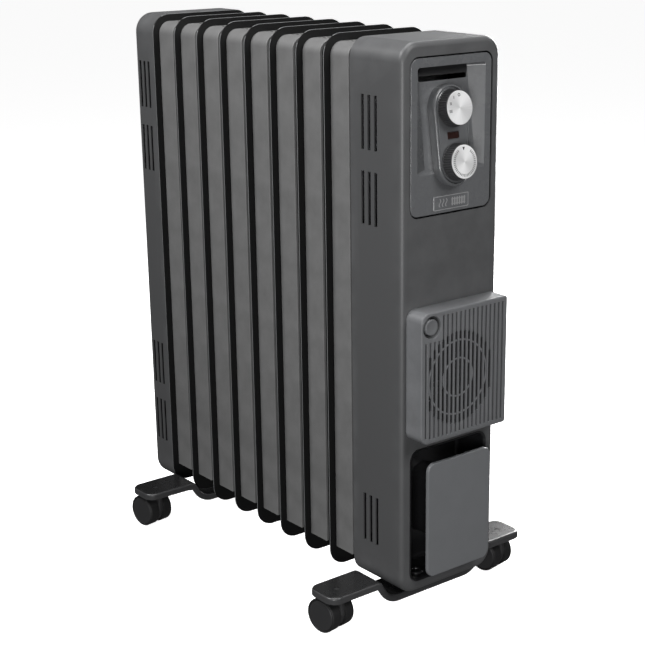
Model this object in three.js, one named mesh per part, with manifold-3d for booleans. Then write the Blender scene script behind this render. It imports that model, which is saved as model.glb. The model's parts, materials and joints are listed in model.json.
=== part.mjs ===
// Oil filled radiator heater with a fan booster: eight oil fins between a rear cover and a control
// housing, standing on two foot bars with twin-wheel castors. Millimetres, +Z up, +X towards the
// controls. The origin is on the floor, below the middle of the overall box.
import * as THREE from 'three';
import { mergeVertices } from 'three/addons/utils/BufferGeometryUtils.js';
import { ConvexGeometry } from 'three/addons/geometries/ConvexGeometry.js';
import Module from 'manifold-3d';

const wasm = await Module();
wasm.setup();

// ---------------------------------------------------------------- driving dimensions
const GAP = 0.3; // clearance between neighbouring pieces
const CUT = 2; // how far a cutter runs past the face it opens
const ROUND = 16; // sides of a small round part
const DUCT_SIDES = 28; // sides of the fan duct and what fits round or inside it

const FIN = {
  count: 8, pitch: 46, width: 138, height: 578, corner: 22, sheet: 1.2,
  chamberWidth: 104, chamberInset: 26, chamberDepth: 8, chamberWall: 1, chamberCorner: 14,
  ribs: 3, ribRadius: 6, ribRise: 2.5,
};
const WRAP = { inset: 8, width: 29, sheet: 1, bottomRise: 23.5, holeRadius: 2.6, holeRows: 2, holes: 5 };
const HEADER = { radius: 24, wall: 2, inset: 62, overhang: 6, windowWidth: 16, windowGap: 0.5, sides: 14 };
const ELEMENT = {
  rodRadius: 4, rodSpacing: 18, straight: 40, tail: 30,
  plugRadius: 21, plugLength: 14, plugHead: 3, headRim: 2, hexRadius: 15, hexLength: 7,
};
const COVER = { depth: 42, fillet: 8, sheet: 1.2 };
const SLOT = {
  width: 4.5, height: 54, gap: 21, coverPitch: 9, housingPitch: 10, fromTop: 54, fromBottom: 51.5,
};
const HOUSING = {
  standoff: 37.6, depth: 78, sideInset: 4.5, topInset: 1, bottomInset: 6, fillet: 6, wall: 1.6,
  cornerExtra: 2, slotShare: 0.37, footShare: 0.42,
};
const BACKPLATE = { sheet: 1.2, setback: 1, ventRadius: 4, ventSides: 12, ventCount: 5, ventPitch: 18 };
const PANEL = {
  width: 105.4, height: 153, corner: 9, fromTop: 16, groove: 1.2, flange: 4, flangeDepth: 2,
  windowWidth: 89, windowHeight: 104, windowTop: 9, slope: 8.5, footDepth: 1, bank: 11,
  lowBankShare: 0.3, topBank: 1.5, tubWall: 2, tubReach: 40, tubDrop: 20,
  ventWidth: 63, ventHeight: 5, ventDrop: 15.5,
};
const POD = { width: 45, height: 100, rise: 8.5, centreRise: 35, rim: 2, rimRise: 0.8 };
const KNOB = {
  radius: 17.2, flutes: 28, fluteDepth: 0.7, height: 13, lift: 0.5, faceRadius: 16.4, faceRise: 0.4,
  spacing: 52.3, shaftRadius: 3.6, shaftLength: 22, shaftRoom: 1,
};
const LENS = { width: 14.7, height: 6.5, depth: 6, proud: 0.5 };
const BADGE = { width: 47, height: 15, corner: 1.2, thickness: 0.8, proud: 0.3, fromBottom: 2.8 };
const SWITCH = { size: 34, chamfer: 2, depth: 20, standoff: 1.6, blind: 2 };
const THERMOSTAT = { radius: 18, depth: 15, bossRadius: 8, bossDepth: 5 };
const FAN = {
  width: 117, height: 137, depth: 23.5, corner: 10, sharpCorner: 2.5, fillet: 2, wall: 2.2, aboveTray: 13.5,
  grilleOffset: 8, grilleDrop: 5.5, grilleRadius: 49, slotPitch: 5.8, slotWidth: 3, slots: 19,
  ringRadii: [20, 39], ringWidth: 2, grooveDepth: 1, fieldMargin: 7, slotMargin: 4,
  buttonY: 44.5, buttonRise: 53.5, buttonRadius: 8.4, rimRadius: 11.5, rimDepth: 3, rimWall: 1.8,
  capLength: 8, capSet: 0.5, stemRadius: 3, stemLength: 6,
  ductRadius: 47.5, ductWall: 2, ductBack: 34, ductFlange: 3.5, ductSet: 1.5,
  hubRadius: 14, bladeRadius: 42, blades: 7, bladeThickness: 1.6, bladeDepth: 14, bladeAngle: 35, bladeRoot: 6,
  motorRadius: 17, motorLength: 24, noseStep: 6, noseLength: 4, motorBack: 3, shaftRadius: 2.5, shaftLength: 20,
  armWidth: 8, armDepth: 2.5, plateRim: 2, plateStep: 4, rotorGap: 8, heaterGap: 4,
  heaterRadius: 44, heaterRing: 3, heaterDepth: 7, heaterBars: 5, barHeight: 2.4, barSpread: 1.5,
};
const FAN_SWITCH = { size: 18, depth: 9, sideCut: 4, topCut: 2, blind: 2 };
const TRAY = { width: 106, height: 148, corner: 12, depth: 41, wall: 2, flange: 4, fromBottom: 12 };
const CLEAT = {
  width: 86.6, height: 126, corner: 9, thickness: 4.5, fillet: 1.5, standoff: 13.5, drop: 1,
  postWidth: 40, postHeight: 78, postWall: 2.5, postCap: 0.5,
};
const GLAND = { radius: 8, bore: 3.6, length: 9, collar: 3, shoulder: 2, sideInset: 21, frontInset: 14 };
const WHEEL = {
  radius: 19, width: 12.4, hubGap: 7, bore: 4.3, trail: 9, rim: 2.5, chamfer: 1.5, dish: 2, sides: 16,
};
const HOOD = {
  topClear: 2, webRadius: 16.5, stemRadius: 5, stemTop: 0.8, bossLength: 18, crownRim: 2, crownClear: 0.4,
  axleInset: 1.5, turn: 9,
};
const FOOT = {
  halfLength: 137, width: 43, corner: 12, thickness: 8, sheet: 2, stemY: 116, stemShift: 2,
  dropStart: 76, dropEnd: 45, drop: 21, padLength: 60, padWidth: 26, bossRadius: 9, bossInset: 0.5,
  behindSecondFin: 13,
};
const SADDLE = { clearance: 4.5 }; // between the foot's saddle and the underside of the fins
const BOLT = { radius: 3, headRadius: 6, headHeight: 4, strapWall: 3, strapWidth: 10 };
const NUT = { radius: 6, sides: 12, height: 4.5, wingLength: 11, wingThickness: 2.4 };
const CUTOUT = { radius: 9, depth: 8, tabSheet: 1, tabHeight: 10 };
const TILT = { width: 24, height: 20, depth: 14, rise: 4 };

// ---------------------------------------------------------------- derived places
const footUnderZ = 2 * WHEEL.radius + HOOD.topClear;
const footTopZ = footUnderZ + FOOT.thickness;
const saddleTopZ = footTopZ - FOOT.drop;
const saddleUnderZ = saddleTopZ - FOOT.thickness;
const finBottomZ = saddleTopZ + SADDLE.clearance;
const finTopZ = finBottomZ + FIN.height;
const finMidZ = (finBottomZ + finTopZ) / 2;
const finX = (i) => COVER.depth + i * FIN.pitch;
const lastFinX = finX(FIN.count - 1);
const headerZ = { top: finTopZ - HEADER.inset, bottom: finBottomZ + HEADER.inset };

const housingBackX = lastFinX + HOUSING.standoff;
const housingFrontX = housingBackX + HOUSING.depth;
const housingWidth = FIN.width - 2 * HOUSING.sideInset;
const housingTopZ = finTopZ - HOUSING.topInset;
const housingBottomZ = finBottomZ + HOUSING.bottomInset;
const housingHeight = housingTopZ - housingBottomZ;
const housingMidZ = (housingTopZ + housingBottomZ) / 2;
const housingCorner = FIN.corner - HOUSING.sideInset + HOUSING.cornerExtra;
const totalLength = housingFrontX + FAN.depth;

const panelFrontX = housingFrontX - GAP;
const panelTopZ = housingTopZ - PANEL.fromTop;
const panelMidZ = panelTopZ - PANEL.height / 2;
const windowTopZ = panelTopZ - PANEL.windowTop;
const windowBottomZ = windowTopZ - PANEL.windowHeight;
const slope = THREE.MathUtils.degToRad(PANEL.slope);
const podZ = windowBottomZ + POD.centreRise;
const podFace = GAP + POD.rise - POD.rimRise;
const knobZ = [-KNOB.spacing / 2, KNOB.spacing / 2];
const badgeZ = panelMidZ - PANEL.height / 2 + BADGE.fromBottom + BADGE.height / 2;
const floorX = (z) => housingFrontX - PANEL.footDepth - (z - windowBottomZ) * Math.tan(slope);

const trayBottomZ = housingBottomZ + TRAY.fromBottom;
const trayMidZ = trayBottomZ + TRAY.height / 2;
const fanZ = trayBottomZ + TRAY.height + FAN.aboveTray + FAN.height / 2;
const grilleY = -FAN.grilleOffset;
const grilleZ = fanZ - FAN.grilleDrop;
const buttonZ = fanZ + FAN.buttonRise;
const trayBackX = housingFrontX - TRAY.depth;

const frontFootX = housingBackX + HOUSING.depth * HOUSING.footShare;
const rearFootX = finX(1) - FOOT.behindSecondFin;
const stemYs = [-FOOT.stemY, FOOT.stemY];

// ---------------------------------------------------------------- solids and shapes
function solidOf(geometry) {
  const bare = geometry.index ? geometry.toNonIndexed() : geometry.clone();
  bare.deleteAttribute('normal');
  bare.deleteAttribute('uv');
  const merged = mergeVertices(bare, 1e-4);
  return new wasm.Manifold(new wasm.Mesh({
    numProp: 3,
    vertProperties: new Float32Array(merged.attributes.position.array),
    triVerts: new Uint32Array(merged.index.array),
  }));
}

function geometryOf(solid) {
  const mesh = solid.asOriginal().simplify(0.005).getMesh();
  const geometry = new THREE.BufferGeometry();
  geometry.setAttribute('position', new THREE.BufferAttribute(new Float32Array(mesh.vertProperties), 3));
  geometry.setIndex(new THREE.BufferAttribute(new Uint32Array(mesh.triVerts), 1));
  geometry.computeVertexNormals();
  return geometry;
}

const union = (...solids) => solids.reduce((a, b) => a.add(b));

// A rectangle with round corners. The corners on the high side may have their own radius.
function roundRect(width, height, radius, cx = 0, cy = 0, highRadius = radius) {
  const most = Math.min(width, height) / 2 - 0.01;
  const r = Math.min(radius, most);
  const h = Math.min(highRadius, most);
  const [x0, x1, y0, y1] = [cx - width / 2, cx + width / 2, cy - height / 2, cy + height / 2];
  const shape = new THREE.Shape();
  shape.absarc(x1 - h, y1 - h, h, 0, Math.PI / 2, false);
  shape.absarc(x0 + r, y1 - r, r, Math.PI / 2, Math.PI, false);
  shape.absarc(x0 + r, y0 + r, r, Math.PI, 1.5 * Math.PI, false);
  shape.absarc(x1 - h, y0 + h, h, 1.5 * Math.PI, 2 * Math.PI, false);
  shape.closePath();
  return shape;
}

const AXES = {
  x: new THREE.Matrix4().makeBasis(
    new THREE.Vector3(0, 1, 0), new THREE.Vector3(0, 0, 1), new THREE.Vector3(1, 0, 0)),
  y: new THREE.Matrix4().makeBasis(
    new THREE.Vector3(0, 0, 1), new THREE.Vector3(1, 0, 0), new THREE.Vector3(0, 1, 0)),
  z: new THREE.Matrix4(),
};

// Extrudes a shape along an axis from a to b. The shape lies in (y, z), (z, x) or (x, y). Each arc
// of the shape gets twice curveSegments sides.
function prism(axis, shape, a, b, curveSegments = 2) {
  const geometry = new THREE.ExtrudeGeometry(shape, { depth: b - a, bevelEnabled: false, curveSegments });
  geometry.translate(0, 0, a);
  geometry.applyMatrix4(AXES[axis]);
  return solidOf(geometry);
}

// A rounded slab along X whose front and back rims are filleted.
function filletSlab(width, height, corner, fillet, x0, x1, cz, highCorner = corner) {
  const least = 0.5;
  const inner = roundRect(width - 2 * fillet, height - 2 * fillet, Math.max(corner - fillet, least), 0, cz,
    Math.max(highCorner - fillet, least));
  const geometry = new THREE.ExtrudeGeometry(inner, {
    depth: x1 - x0 - 2 * fillet, bevelEnabled: true, bevelThickness: fillet, bevelSize: fillet,
    bevelSegments: 2, curveSegments: 2,
  });
  geometry.translate(0, 0, x0 + fillet);
  geometry.applyMatrix4(AXES.x);
  return solidOf(geometry);
}

function circle(radius, cx = 0, cy = 0) {
  const shape = new THREE.Shape();
  shape.absarc(cx, cy, radius, 0, 2 * Math.PI, false);
  return shape;
}

const rod = (axis, radius, a, b, cx = 0, cy = 0, sides = ROUND) =>
  prism(axis, circle(radius, cx, cy), a, b, sides / 2);

// A plate across X with round corners.
const plateX = (width, height, corner, cz, x0, x1) =>
  prism('x', roundRect(width, height, corner, 0, cz), x0, x1);

function ring(axis, outer, inner, a, b, cx = 0, cy = 0, sides = DUCT_SIDES) {
  return rod(axis, outer, a, b, cx, cy, sides).subtract(rod(axis, inner, a - CUT, b + CUT, cx, cy, sides));
}

function box(x0, x1, y0, y1, z0, z1) {
  const geometry = new THREE.BoxGeometry(x1 - x0, y1 - y0, z1 - z0);
  geometry.translate((x0 + x1) / 2, (y0 + y1) / 2, (z0 + z1) / 2);
  return solidOf(geometry);
}

// A stadium: a rectangle with fully round ends, drawn upright.
const stadium = (width, height, cx = 0, cy = 0) => roundRect(width, height, width / 2, cx, cy);

// ---------------------------------------------------------------- casing
function slotCutter(centreX, pitch, tops) {
  const half = FIN.width / 2 + CUT;
  const cuts = [];
  for (const top of tops) {
    for (let i = -1; i <= 1; i += 1) {
      const x = centreX + i * pitch;
      cuts.push(box(x - SLOT.width / 2, x + SLOT.width / 2, -half, half, top - SLOT.height, top));
    }
  }
  return union(...cuts);
}

const upperSlotTops = [finTopZ - SLOT.fromTop, finTopZ - SLOT.fromTop - SLOT.height - SLOT.gap];
const lowestSlotTop = finBottomZ + SLOT.fromBottom + SLOT.height;

function rearCover() {
  const front = COVER.depth - GAP;
  const keep = box(0, front, -FIN.width, FIN.width, 0, finTopZ + CUT);
  const outer = filletSlab(FIN.width, FIN.height, FIN.corner, COVER.fillet,
    0, COVER.depth + COVER.fillet, finMidZ).intersect(keep);
  const s = COVER.sheet;
  const hollow = filletSlab(FIN.width - 2 * s, FIN.height - 2 * s, FIN.corner - s, COVER.fillet - s,
    s, COVER.depth + COVER.fillet, finMidZ);
  const tops = [...upperSlotTops, lowestSlotTop, lowestSlotTop + SLOT.height + SLOT.gap];
  return outer.subtract(hollow).subtract(slotCutter(COVER.depth / 2, SLOT.coverPitch, tops));
}

function controlHousing() {
  const w = HOUSING.wall;
  const keep = box(housingBackX, housingFrontX, -FIN.width, FIN.width, 0, finTopZ + CUT);
  const outer = filletSlab(housingWidth, housingHeight, housingCorner, HOUSING.fillet,
    housingBackX - HOUSING.fillet, housingFrontX, housingMidZ).intersect(keep);
  const hollow = filletSlab(housingWidth - 2 * w, housingHeight - 2 * w, housingCorner - w, HOUSING.fillet - w,
    housingBackX - 2 * HOUSING.fillet, housingFrontX - w, housingMidZ);
  const cutFrom = housingFrontX - w - CUT;
  const cutTo = housingFrontX + CUT;
  const g = PANEL.groove;
  const panelHole = plateX(PANEL.width + 2 * g, PANEL.height + 2 * g, PANEL.corner + g, panelMidZ,
    cutFrom, cutTo);
  const ductHole = rod('x', FAN.ductRadius + GAP, cutFrom, cutTo, grilleY, grilleZ, DUCT_SIDES);
  const trayHole = plateX(TRAY.width + 2 * GAP, TRAY.height + 2 * GAP, TRAY.corner + GAP, trayMidZ,
    cutFrom, cutTo);
  const boltHole = rod('z', BOLT.radius + GAP, housingBottomZ - CUT, housingBottomZ + w + CUT, frontFootX, 0);
  const slotsX = housingBackX + HOUSING.depth * HOUSING.slotShare;
  const slots = slotCutter(slotsX, SLOT.housingPitch, [...upperSlotTops, lowestSlotTop]);
  return outer.subtract(hollow).subtract(panelHole).subtract(ductHole).subtract(trayHole)
    .subtract(boltHole).subtract(slots);
}

function housingBackplate() {
  const w = HOUSING.wall + GAP;
  const x0 = housingBackX + BACKPLATE.setback;
  const x1 = x0 + BACKPLATE.sheet;
  const tubeHole = rod('x', HEADER.radius + GAP, x0 - CUT, x1 + CUT, 0, headerZ.bottom, HEADER.sides);
  let plate = plateX(housingWidth - 2 * w, housingHeight - 2 * w, housingCorner - w, housingMidZ, x0, x1);
  plate = plate.subtract(tubeHole);
  for (let i = 0; i < BACKPLATE.ventCount; i += 1) {
    const y = (i - (BACKPLATE.ventCount - 1) / 2) * BACKPLATE.ventPitch;
    const vent = rod('x', BACKPLATE.ventRadius, x0 - CUT, x1 + CUT, y, headerZ.top, BACKPLATE.ventSides);
    plate = plate.subtract(vent);
  }
  return plate;
}

// ---------------------------------------------------------------- oil body
// One fin at x = 0: a pressed plate with its oil chamber welded on the +X side.
function fin() {
  const s = FIN.sheet;
  const chamberHeight = FIN.height - 2 * FIN.chamberInset;
  const back = s + FIN.chamberDepth;
  const chamberShape = roundRect(FIN.chamberWidth, chamberHeight, FIN.chamberCorner, 0, finMidZ);
  let solid = plateX(FIN.width, FIN.height, FIN.corner, finMidZ, 0, s);
  solid = solid.add(prism('x', chamberShape, s / 2, back, 1));
  const ribLength = headerZ.top - headerZ.bottom - 2 * HEADER.radius - 4 * FIN.ribRadius;
  const ribPitch = FIN.chamberWidth / FIN.ribs;
  for (let i = 0; i < FIN.ribs; i += 1) {
    const y = (i - (FIN.ribs - 1) / 2) * ribPitch;
    const rib = rod('z', FIN.ribRadius, finMidZ - ribLength / 2, finMidZ + ribLength / 2,
      back + FIN.ribRise - FIN.ribRadius, y, 8);
    solid = solid.add(rib.intersect(box(s / 2, back + FIN.ribRadius, -FIN.width, FIN.width, 0, finTopZ)));
  }
  const w = FIN.chamberWall;
  const cavityShape = roundRect(FIN.chamberWidth - 2 * w, chamberHeight - 2 * w, FIN.chamberCorner - w, 0, finMidZ);
  const reach = back + FIN.ribRise + CUT;
  solid = solid.subtract(prism('x', cavityShape, s, back - w, 1));
  for (const z of Object.values(headerZ)) {
    solid = solid.subtract(rod('x', HEADER.radius + GAP, -CUT, reach, 0, z, HEADER.sides));
  }
  return solid;
}

// One wrap cover, with x = 0 at the face of its fin plate: two side strips joined over the top.
function wrap() {
  const half = FIN.width / 2 - WRAP.inset;
  const top = finTopZ - WRAP.inset;
  const bottom = finBottomZ + WRAP.bottomRise;
  const corner = FIN.corner - WRAP.inset;
  const t = WRAP.sheet;
  const height = top - bottom + 4 * corner;
  const middle = top - height / 2;
  const outer = plateX(2 * half, height, corner, middle, 0, WRAP.width);
  const inner = plateX(2 * (half - t), height, corner - t, middle - t, -CUT, WRAP.width + CUT);
  const keep = box(-CUT, WRAP.width + CUT, -half - CUT, half + CUT, bottom, top + CUT);
  let cover = outer.subtract(inner).intersect(keep);
  const flat = 2 * (half - corner);
  const rowPitch = WRAP.width / WRAP.holeRows;
  const holePitch = flat / WRAP.holes;
  for (let row = 0; row < WRAP.holeRows; row += 1) {
    const x = (row + 0.5) * rowPitch;
    const stagger = row % 2 ? 0.25 : -0.25;
    for (let i = 0; i < WRAP.holes; i += 1) {
      const y = (i - (WRAP.holes - 1) / 2 + stagger) * holePitch;
      cover = cover.subtract(rod('z', WRAP.holeRadius, top - t - CUT, top + CUT, x, y, 6));
    }
  }
  return cover;
}

// A header tube with a port into every fin chamber. side is +1 for ports on top, -1 for below.
function headerTube(z, x0, x1, side, openFront) {
  const bore = HEADER.radius - HEADER.wall;
  let tube = rod('x', HEADER.radius, x0, x1, 0, z, HEADER.sides);
  const boreEnd = openFront ? x1 + CUT : x1 - HEADER.wall;
  tube = tube.subtract(rod('x', bore, x0 + HEADER.wall, boreEnd, 0, z, HEADER.sides));
  const half = HEADER.windowWidth / 2;
  const [z0, z1] = side > 0 ? [z, z + HEADER.radius + CUT] : [z - HEADER.radius - CUT, z];
  for (let i = 0; i < FIN.count; i += 1) {
    const low = finX(i) + FIN.sheet + HEADER.windowGap;
    const high = finX(i) + FIN.sheet + FIN.chamberDepth - 3 * HEADER.windowGap;
    tube = tube.subtract(box(low, high, -half, half, z0, z1));
  }
  return tube;
}

function topHeader() {
  const end = lastFinX + FIN.sheet + FIN.chamberDepth + HEADER.overhang;
  return headerTube(headerZ.top, finX(0) - HEADER.overhang, end, -1, false);
}

const headerFrontX = housingBackX + BACKPLATE.setback + BACKPLATE.sheet + HEADER.overhang / 2;

function bottomHeader() {
  return headerTube(headerZ.bottom, finX(0) - HEADER.overhang, headerFrontX, 1, true);
}

// A hairpin heating rod on a screw plug that closes the open end of the bottom header.
function heatingElement() {
  const z = headerZ.bottom;
  const plugBack = headerFrontX - ELEMENT.plugLength;
  const plug = rod('x', ELEMENT.plugRadius, plugBack, headerFrontX, 0, z, HEADER.sides);
  const headEnd = headerFrontX + ELEMENT.plugHead;
  const headRadius = HEADER.radius + ELEMENT.headRim;
  const head = rod('x', headRadius, headerFrontX + GAP, headEnd, 0, z, HEADER.sides);
  const neck = rod('x', ELEMENT.plugRadius, headerFrontX - CUT, headEnd - GAP, 0, z, HEADER.sides);
  const hex = rod('x', ELEMENT.hexRadius, headEnd - GAP, headEnd + ELEMENT.hexLength, 0, z, 6);
  const half = ELEMENT.rodSpacing / 2;
  const farX = finX(0) + ELEMENT.tail;
  const bendX = farX + ELEMENT.straight;
  const rodEnd = plugBack + CUT;
  const turns = [
    [rodEnd, -half], [bendX, -half], [farX + half, -half], [farX, 0],
    [farX + half, half], [bendX, half], [rodEnd, half],
  ];
  const route = new THREE.CatmullRomCurve3(turns.map(([x, y]) => new THREE.Vector3(x, y, z)), false, 'centripetal');
  const section = circle(ELEMENT.rodRadius);
  const hairpin = new THREE.ExtrudeGeometry(section, { steps: 22, curveSegments: 4, extrudePath: route });
  return union(plug, neck, head, hex, solidOf(hairpin));
}

// ---------------------------------------------------------------- controls
// The rectangle at depth x with half width w and from z0 to z1, as four corner points.
const corners = (w, z0, x0, z1, x1) => [
  new THREE.Vector3(x0, -w, z0), new THREE.Vector3(x0, w, z0),
  new THREE.Vector3(x1, -w, z1), new THREE.Vector3(x1, w, z1),
];

// The sloping well: its floor leans back, its banks flare out to the window in the panel face.
function wellSolid(grow, proud) {
  const half = PANEL.windowWidth / 2 + grow;
  const z0 = windowBottomZ - grow;
  const z1 = windowTopZ + grow;
  const front = housingFrontX + proud;
  const floorLow = windowBottomZ + PANEL.bank * PANEL.lowBankShare - grow;
  const floorHigh = windowTopZ - PANEL.topBank + grow;
  const points = [
    ...corners(half, z0, front, z1, front),
    ...corners(half - PANEL.bank, floorLow, floorX(floorLow) - grow, floorHigh, floorX(floorHigh) - grow),
  ];
  return solidOf(new ConvexGeometry(points));
}

function controlPanel() {
  const back = housingFrontX - HOUSING.wall - GAP;
  const face = plateX(PANEL.width, PANEL.height, PANEL.corner, panelMidZ, back - PANEL.flangeDepth, panelFrontX);
  const f = PANEL.flange;
  const flange = plateX(PANEL.width + 2 * f, PANEL.height + 2 * f, PANEL.corner + f, panelMidZ,
    back - PANEL.flangeDepth, back);
  const behind = box(housingFrontX - PANEL.tubReach, back, -PANEL.width, PANEL.width,
    windowBottomZ - PANEL.tubDrop, panelTopZ);
  const tub = wellSolid(PANEL.tubWall, 0).intersect(behind);
  let panel = union(face, flange, tub).subtract(wellSolid(0, CUT));
  const seatForPod = stadium(POD.width + 2 * GAP, POD.height + 2 * GAP);
  panel = panel.subtract(tilted(prism('x', seatForPod, 0, POD.rise, 4)));
  const ventZ = windowTopZ - PANEL.ventDrop;
  const half = PANEL.ventWidth / 2;
  const through = PANEL.tubWall + 2 * CUT;
  const vent = box(floorX(ventZ) - through, floorX(ventZ) + through, -half, half, ventZ, ventZ + PANEL.ventHeight);
  const seat = plateX(BADGE.width + 2 * GAP, BADGE.height + 2 * GAP, BADGE.corner + GAP, badgeZ,
    panelFrontX - BADGE.thickness, housingFrontX + CUT);
  panel = panel.subtract(vent).subtract(seat);
  for (const z of knobZ) {
    panel = panel.subtract(tilted(rod('x', KNOB.shaftRadius + KNOB.shaftRoom, -through, through, 0, z)));
  }
  return panel;
}

// Moves a solid drawn on the well floor (x away from the floor, z up along it) to its real place.
function tilted(solid) {
  return solid.rotate([0, -PANEL.slope, 0]).translate([floorX(podZ), 0, podZ]);
}

function knobPod() {
  const top = GAP + POD.rise;
  const face = stadium(POD.width - 2 * POD.rim, POD.height - 2 * POD.rim);
  let pod = prism('x', stadium(POD.width, POD.height), GAP, top, 4).subtract(prism('x', face, podFace, top + CUT, 4));
  for (const z of knobZ) {
    pod = pod.subtract(rod('x', KNOB.shaftRadius + KNOB.shaftRoom, -CUT, top + CUT, 0, z));
  }
  const w = LENS.width / 2 + GAP;
  const h = LENS.height / 2 + GAP;
  return pod.subtract(box(-CUT, top + CUT, -w, w, -h, h));
}

function indicatorLens() {
  return box(podFace + LENS.proud - LENS.depth, podFace + LENS.proud,
    -LENS.width / 2, LENS.width / 2, -LENS.height / 2, LENS.height / 2);
}

// A knob drawn on its own axis, with x = 0 at the well floor.
function knob() {
  const steps = 2 * KNOB.flutes;
  const outline = new THREE.Shape();
  for (let i = 0; i < steps; i += 1) {
    const angle = (i / steps) * 2 * Math.PI;
    const r = i % 2 ? KNOB.radius - KNOB.fluteDepth : KNOB.radius;
    if (i === 0) outline.moveTo(r, 0);
    else outline.lineTo(r * Math.cos(angle), r * Math.sin(angle));
  }
  outline.closePath();
  const base = podFace + KNOB.lift;
  const skirt = prism('x', outline, base, base + KNOB.height);
  const face = rod('x', KNOB.faceRadius, base, base + KNOB.height + KNOB.faceRise);
  const shaft = rod('x', KNOB.shaftRadius, base - KNOB.shaftLength, base + 1);
  return union(skirt, face, shaft);
}

const switchFront = -PANEL.tubWall - SWITCH.standoff - GAP;
const shaftBore = (back) => rod('x', KNOB.shaftRadius + GAP, back + SWITCH.blind, switchFront + CUT);

function selectorSwitch() {
  const half = SWITCH.size / 2;
  const tall = half - SWITCH.chamfer;
  const back = switchFront - SWITCH.depth;
  return box(back, switchFront, -half, half, -tall, tall).subtract(shaftBore(back));
}

function thermostat() {
  const step = switchFront - THERMOSTAT.bossDepth;
  const back = step - THERMOSTAT.depth;
  const boss = rod('x', THERMOSTAT.bossRadius, step, switchFront);
  const can = rod('x', THERMOSTAT.radius, back, step + GAP);
  return union(boss, can).subtract(shaftBore(back));
}

function badge() {
  return plateX(BADGE.width, BADGE.height, BADGE.corner, badgeZ,
    housingFrontX - BADGE.thickness, housingFrontX + BADGE.proud);
}

const onBackplateX = housingBackX + BACKPLATE.setback + BACKPLATE.sheet + GAP;

function thermalCutout() {
  const z = headerZ.bottom + 2 * HEADER.radius;
  const half = CUTOUT.tabHeight / 2;
  const can = rod('x', CUTOUT.radius, onBackplateX, onBackplateX + CUTOUT.depth, 0, z);
  const tab = box(onBackplateX, onBackplateX + CUTOUT.tabSheet, -2 * CUTOUT.radius, 2 * CUTOUT.radius,
    z - half, z + half);
  return union(can, tab);
}

function tiltSwitch() {
  const z0 = housingBottomZ + HOUSING.wall + TILT.rise;
  return box(onBackplateX, onBackplateX + TILT.depth, -TILT.width / 2, TILT.width / 2, z0, z0 + TILT.height);
}

// ---------------------------------------------------------------- fan booster
function slatCutter() {
  const front = totalLength;
  const centre = (FAN.slots - 1) / 2;
  const field = FAN.height / 2 - FAN.fieldMargin;
  const underButton = FAN.buttonRise - FAN.rimRadius - FAN.slotMargin;
  const half = FAN.slotWidth / 2;
  const open = [];
  const grooves = [];
  for (let i = 0; i < FAN.slots; i += 1) {
    const y = (i - centre) * FAN.slotPitch;
    const offset = Math.abs(y - grilleY) + half;
    const blocked = y < -FAN.buttonY + FAN.rimRadius + FAN.slotMargin;
    const topZ = fanZ + (blocked ? underButton : field);
    grooves.push(box(front - FAN.grooveDepth, front + CUT, y - half, y + half, fanZ - field, topZ));
    if (offset < FAN.grilleRadius - FAN.slotMargin) {
      const chord = Math.sqrt(FAN.grilleRadius ** 2 - offset ** 2);
      open.push(box(front - FAN.wall - CUT, front + CUT, y - half, y + half, grilleZ - chord, grilleZ + chord));
    }
  }
  let cutter = union(...open);
  for (const r of FAN.ringRadii) {
    const hoop = ring('x', r + FAN.ringWidth / 2, r - FAN.ringWidth / 2,
      front - FAN.wall - 2 * CUT, front - FAN.grooveDepth, grilleY, grilleZ, ROUND);
    cutter = cutter.subtract(hoop);
  }
  return union(cutter, ...grooves);
}

function fanGrille() {
  const x0 = housingFrontX + GAP;
  const keep = box(x0, totalLength, -FIN.width, FIN.width, 0, finTopZ);
  const outer = filletSlab(FAN.width, FAN.height, FAN.corner, FAN.fillet,
    x0 - 2 * FAN.fillet, totalLength, fanZ, FAN.sharpCorner).intersect(keep);
  const w = FAN.wall;
  const hollow = prism('x', roundRect(FAN.width - 2 * w, FAN.height - 2 * w, FAN.corner - w, 0, fanZ,
    FAN.sharpCorner), x0 - CUT, totalLength - w);
  const boss = rod('x', FAN.rimRadius + FAN.rimWall, totalLength - FAN.rimDepth - w, totalLength - FAN.grooveDepth,
    -FAN.buttonY, buttonZ);
  const dish = rod('x', FAN.rimRadius, totalLength - FAN.rimDepth, totalLength + CUT, -FAN.buttonY, buttonZ);
  const hole = rod('x', FAN.buttonRadius + GAP, x0, totalLength, -FAN.buttonY, buttonZ);
  return outer.subtract(hollow).subtract(slatCutter()).add(boss).subtract(dish).subtract(hole);
}

const ductFrontX = totalLength - FAN.wall - FAN.ductSet;
const ductBackX = housingFrontX - FAN.ductBack;

function fanDuct() {
  const flangeX = housingFrontX - HOUSING.wall - GAP;
  const reach = FAN.ductRadius - FAN.ductWall / 2;
  const tube = ring('x', FAN.ductRadius, FAN.ductRadius - FAN.ductWall, ductBackX, ductFrontX, grilleY, grilleZ);
  const flange = ring('x', FAN.ductRadius + FAN.ductFlange, reach, flangeX - FAN.ductWall, flangeX, grilleY, grilleZ);
  const half = FAN.armWidth / 2;
  const armsX = ductBackX + FAN.armDepth;
  const arms = union(
    box(ductBackX, armsX, grilleY - reach, grilleY + reach, grilleZ - half, grilleZ + half),
    box(ductBackX, armsX, grilleY - half, grilleY + half, grilleZ - reach, grilleZ + reach),
    rod('x', FAN.motorRadius + FAN.plateRim, ductBackX, armsX, grilleY, grilleZ),
  );
  const noseHole = rod('x', FAN.motorRadius - FAN.plateStep, ductBackX - CUT, armsX + CUT, grilleY, grilleZ);
  return union(tube, flange, arms).subtract(noseHole);
}

const motorFrontX = ductBackX - GAP;

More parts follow.
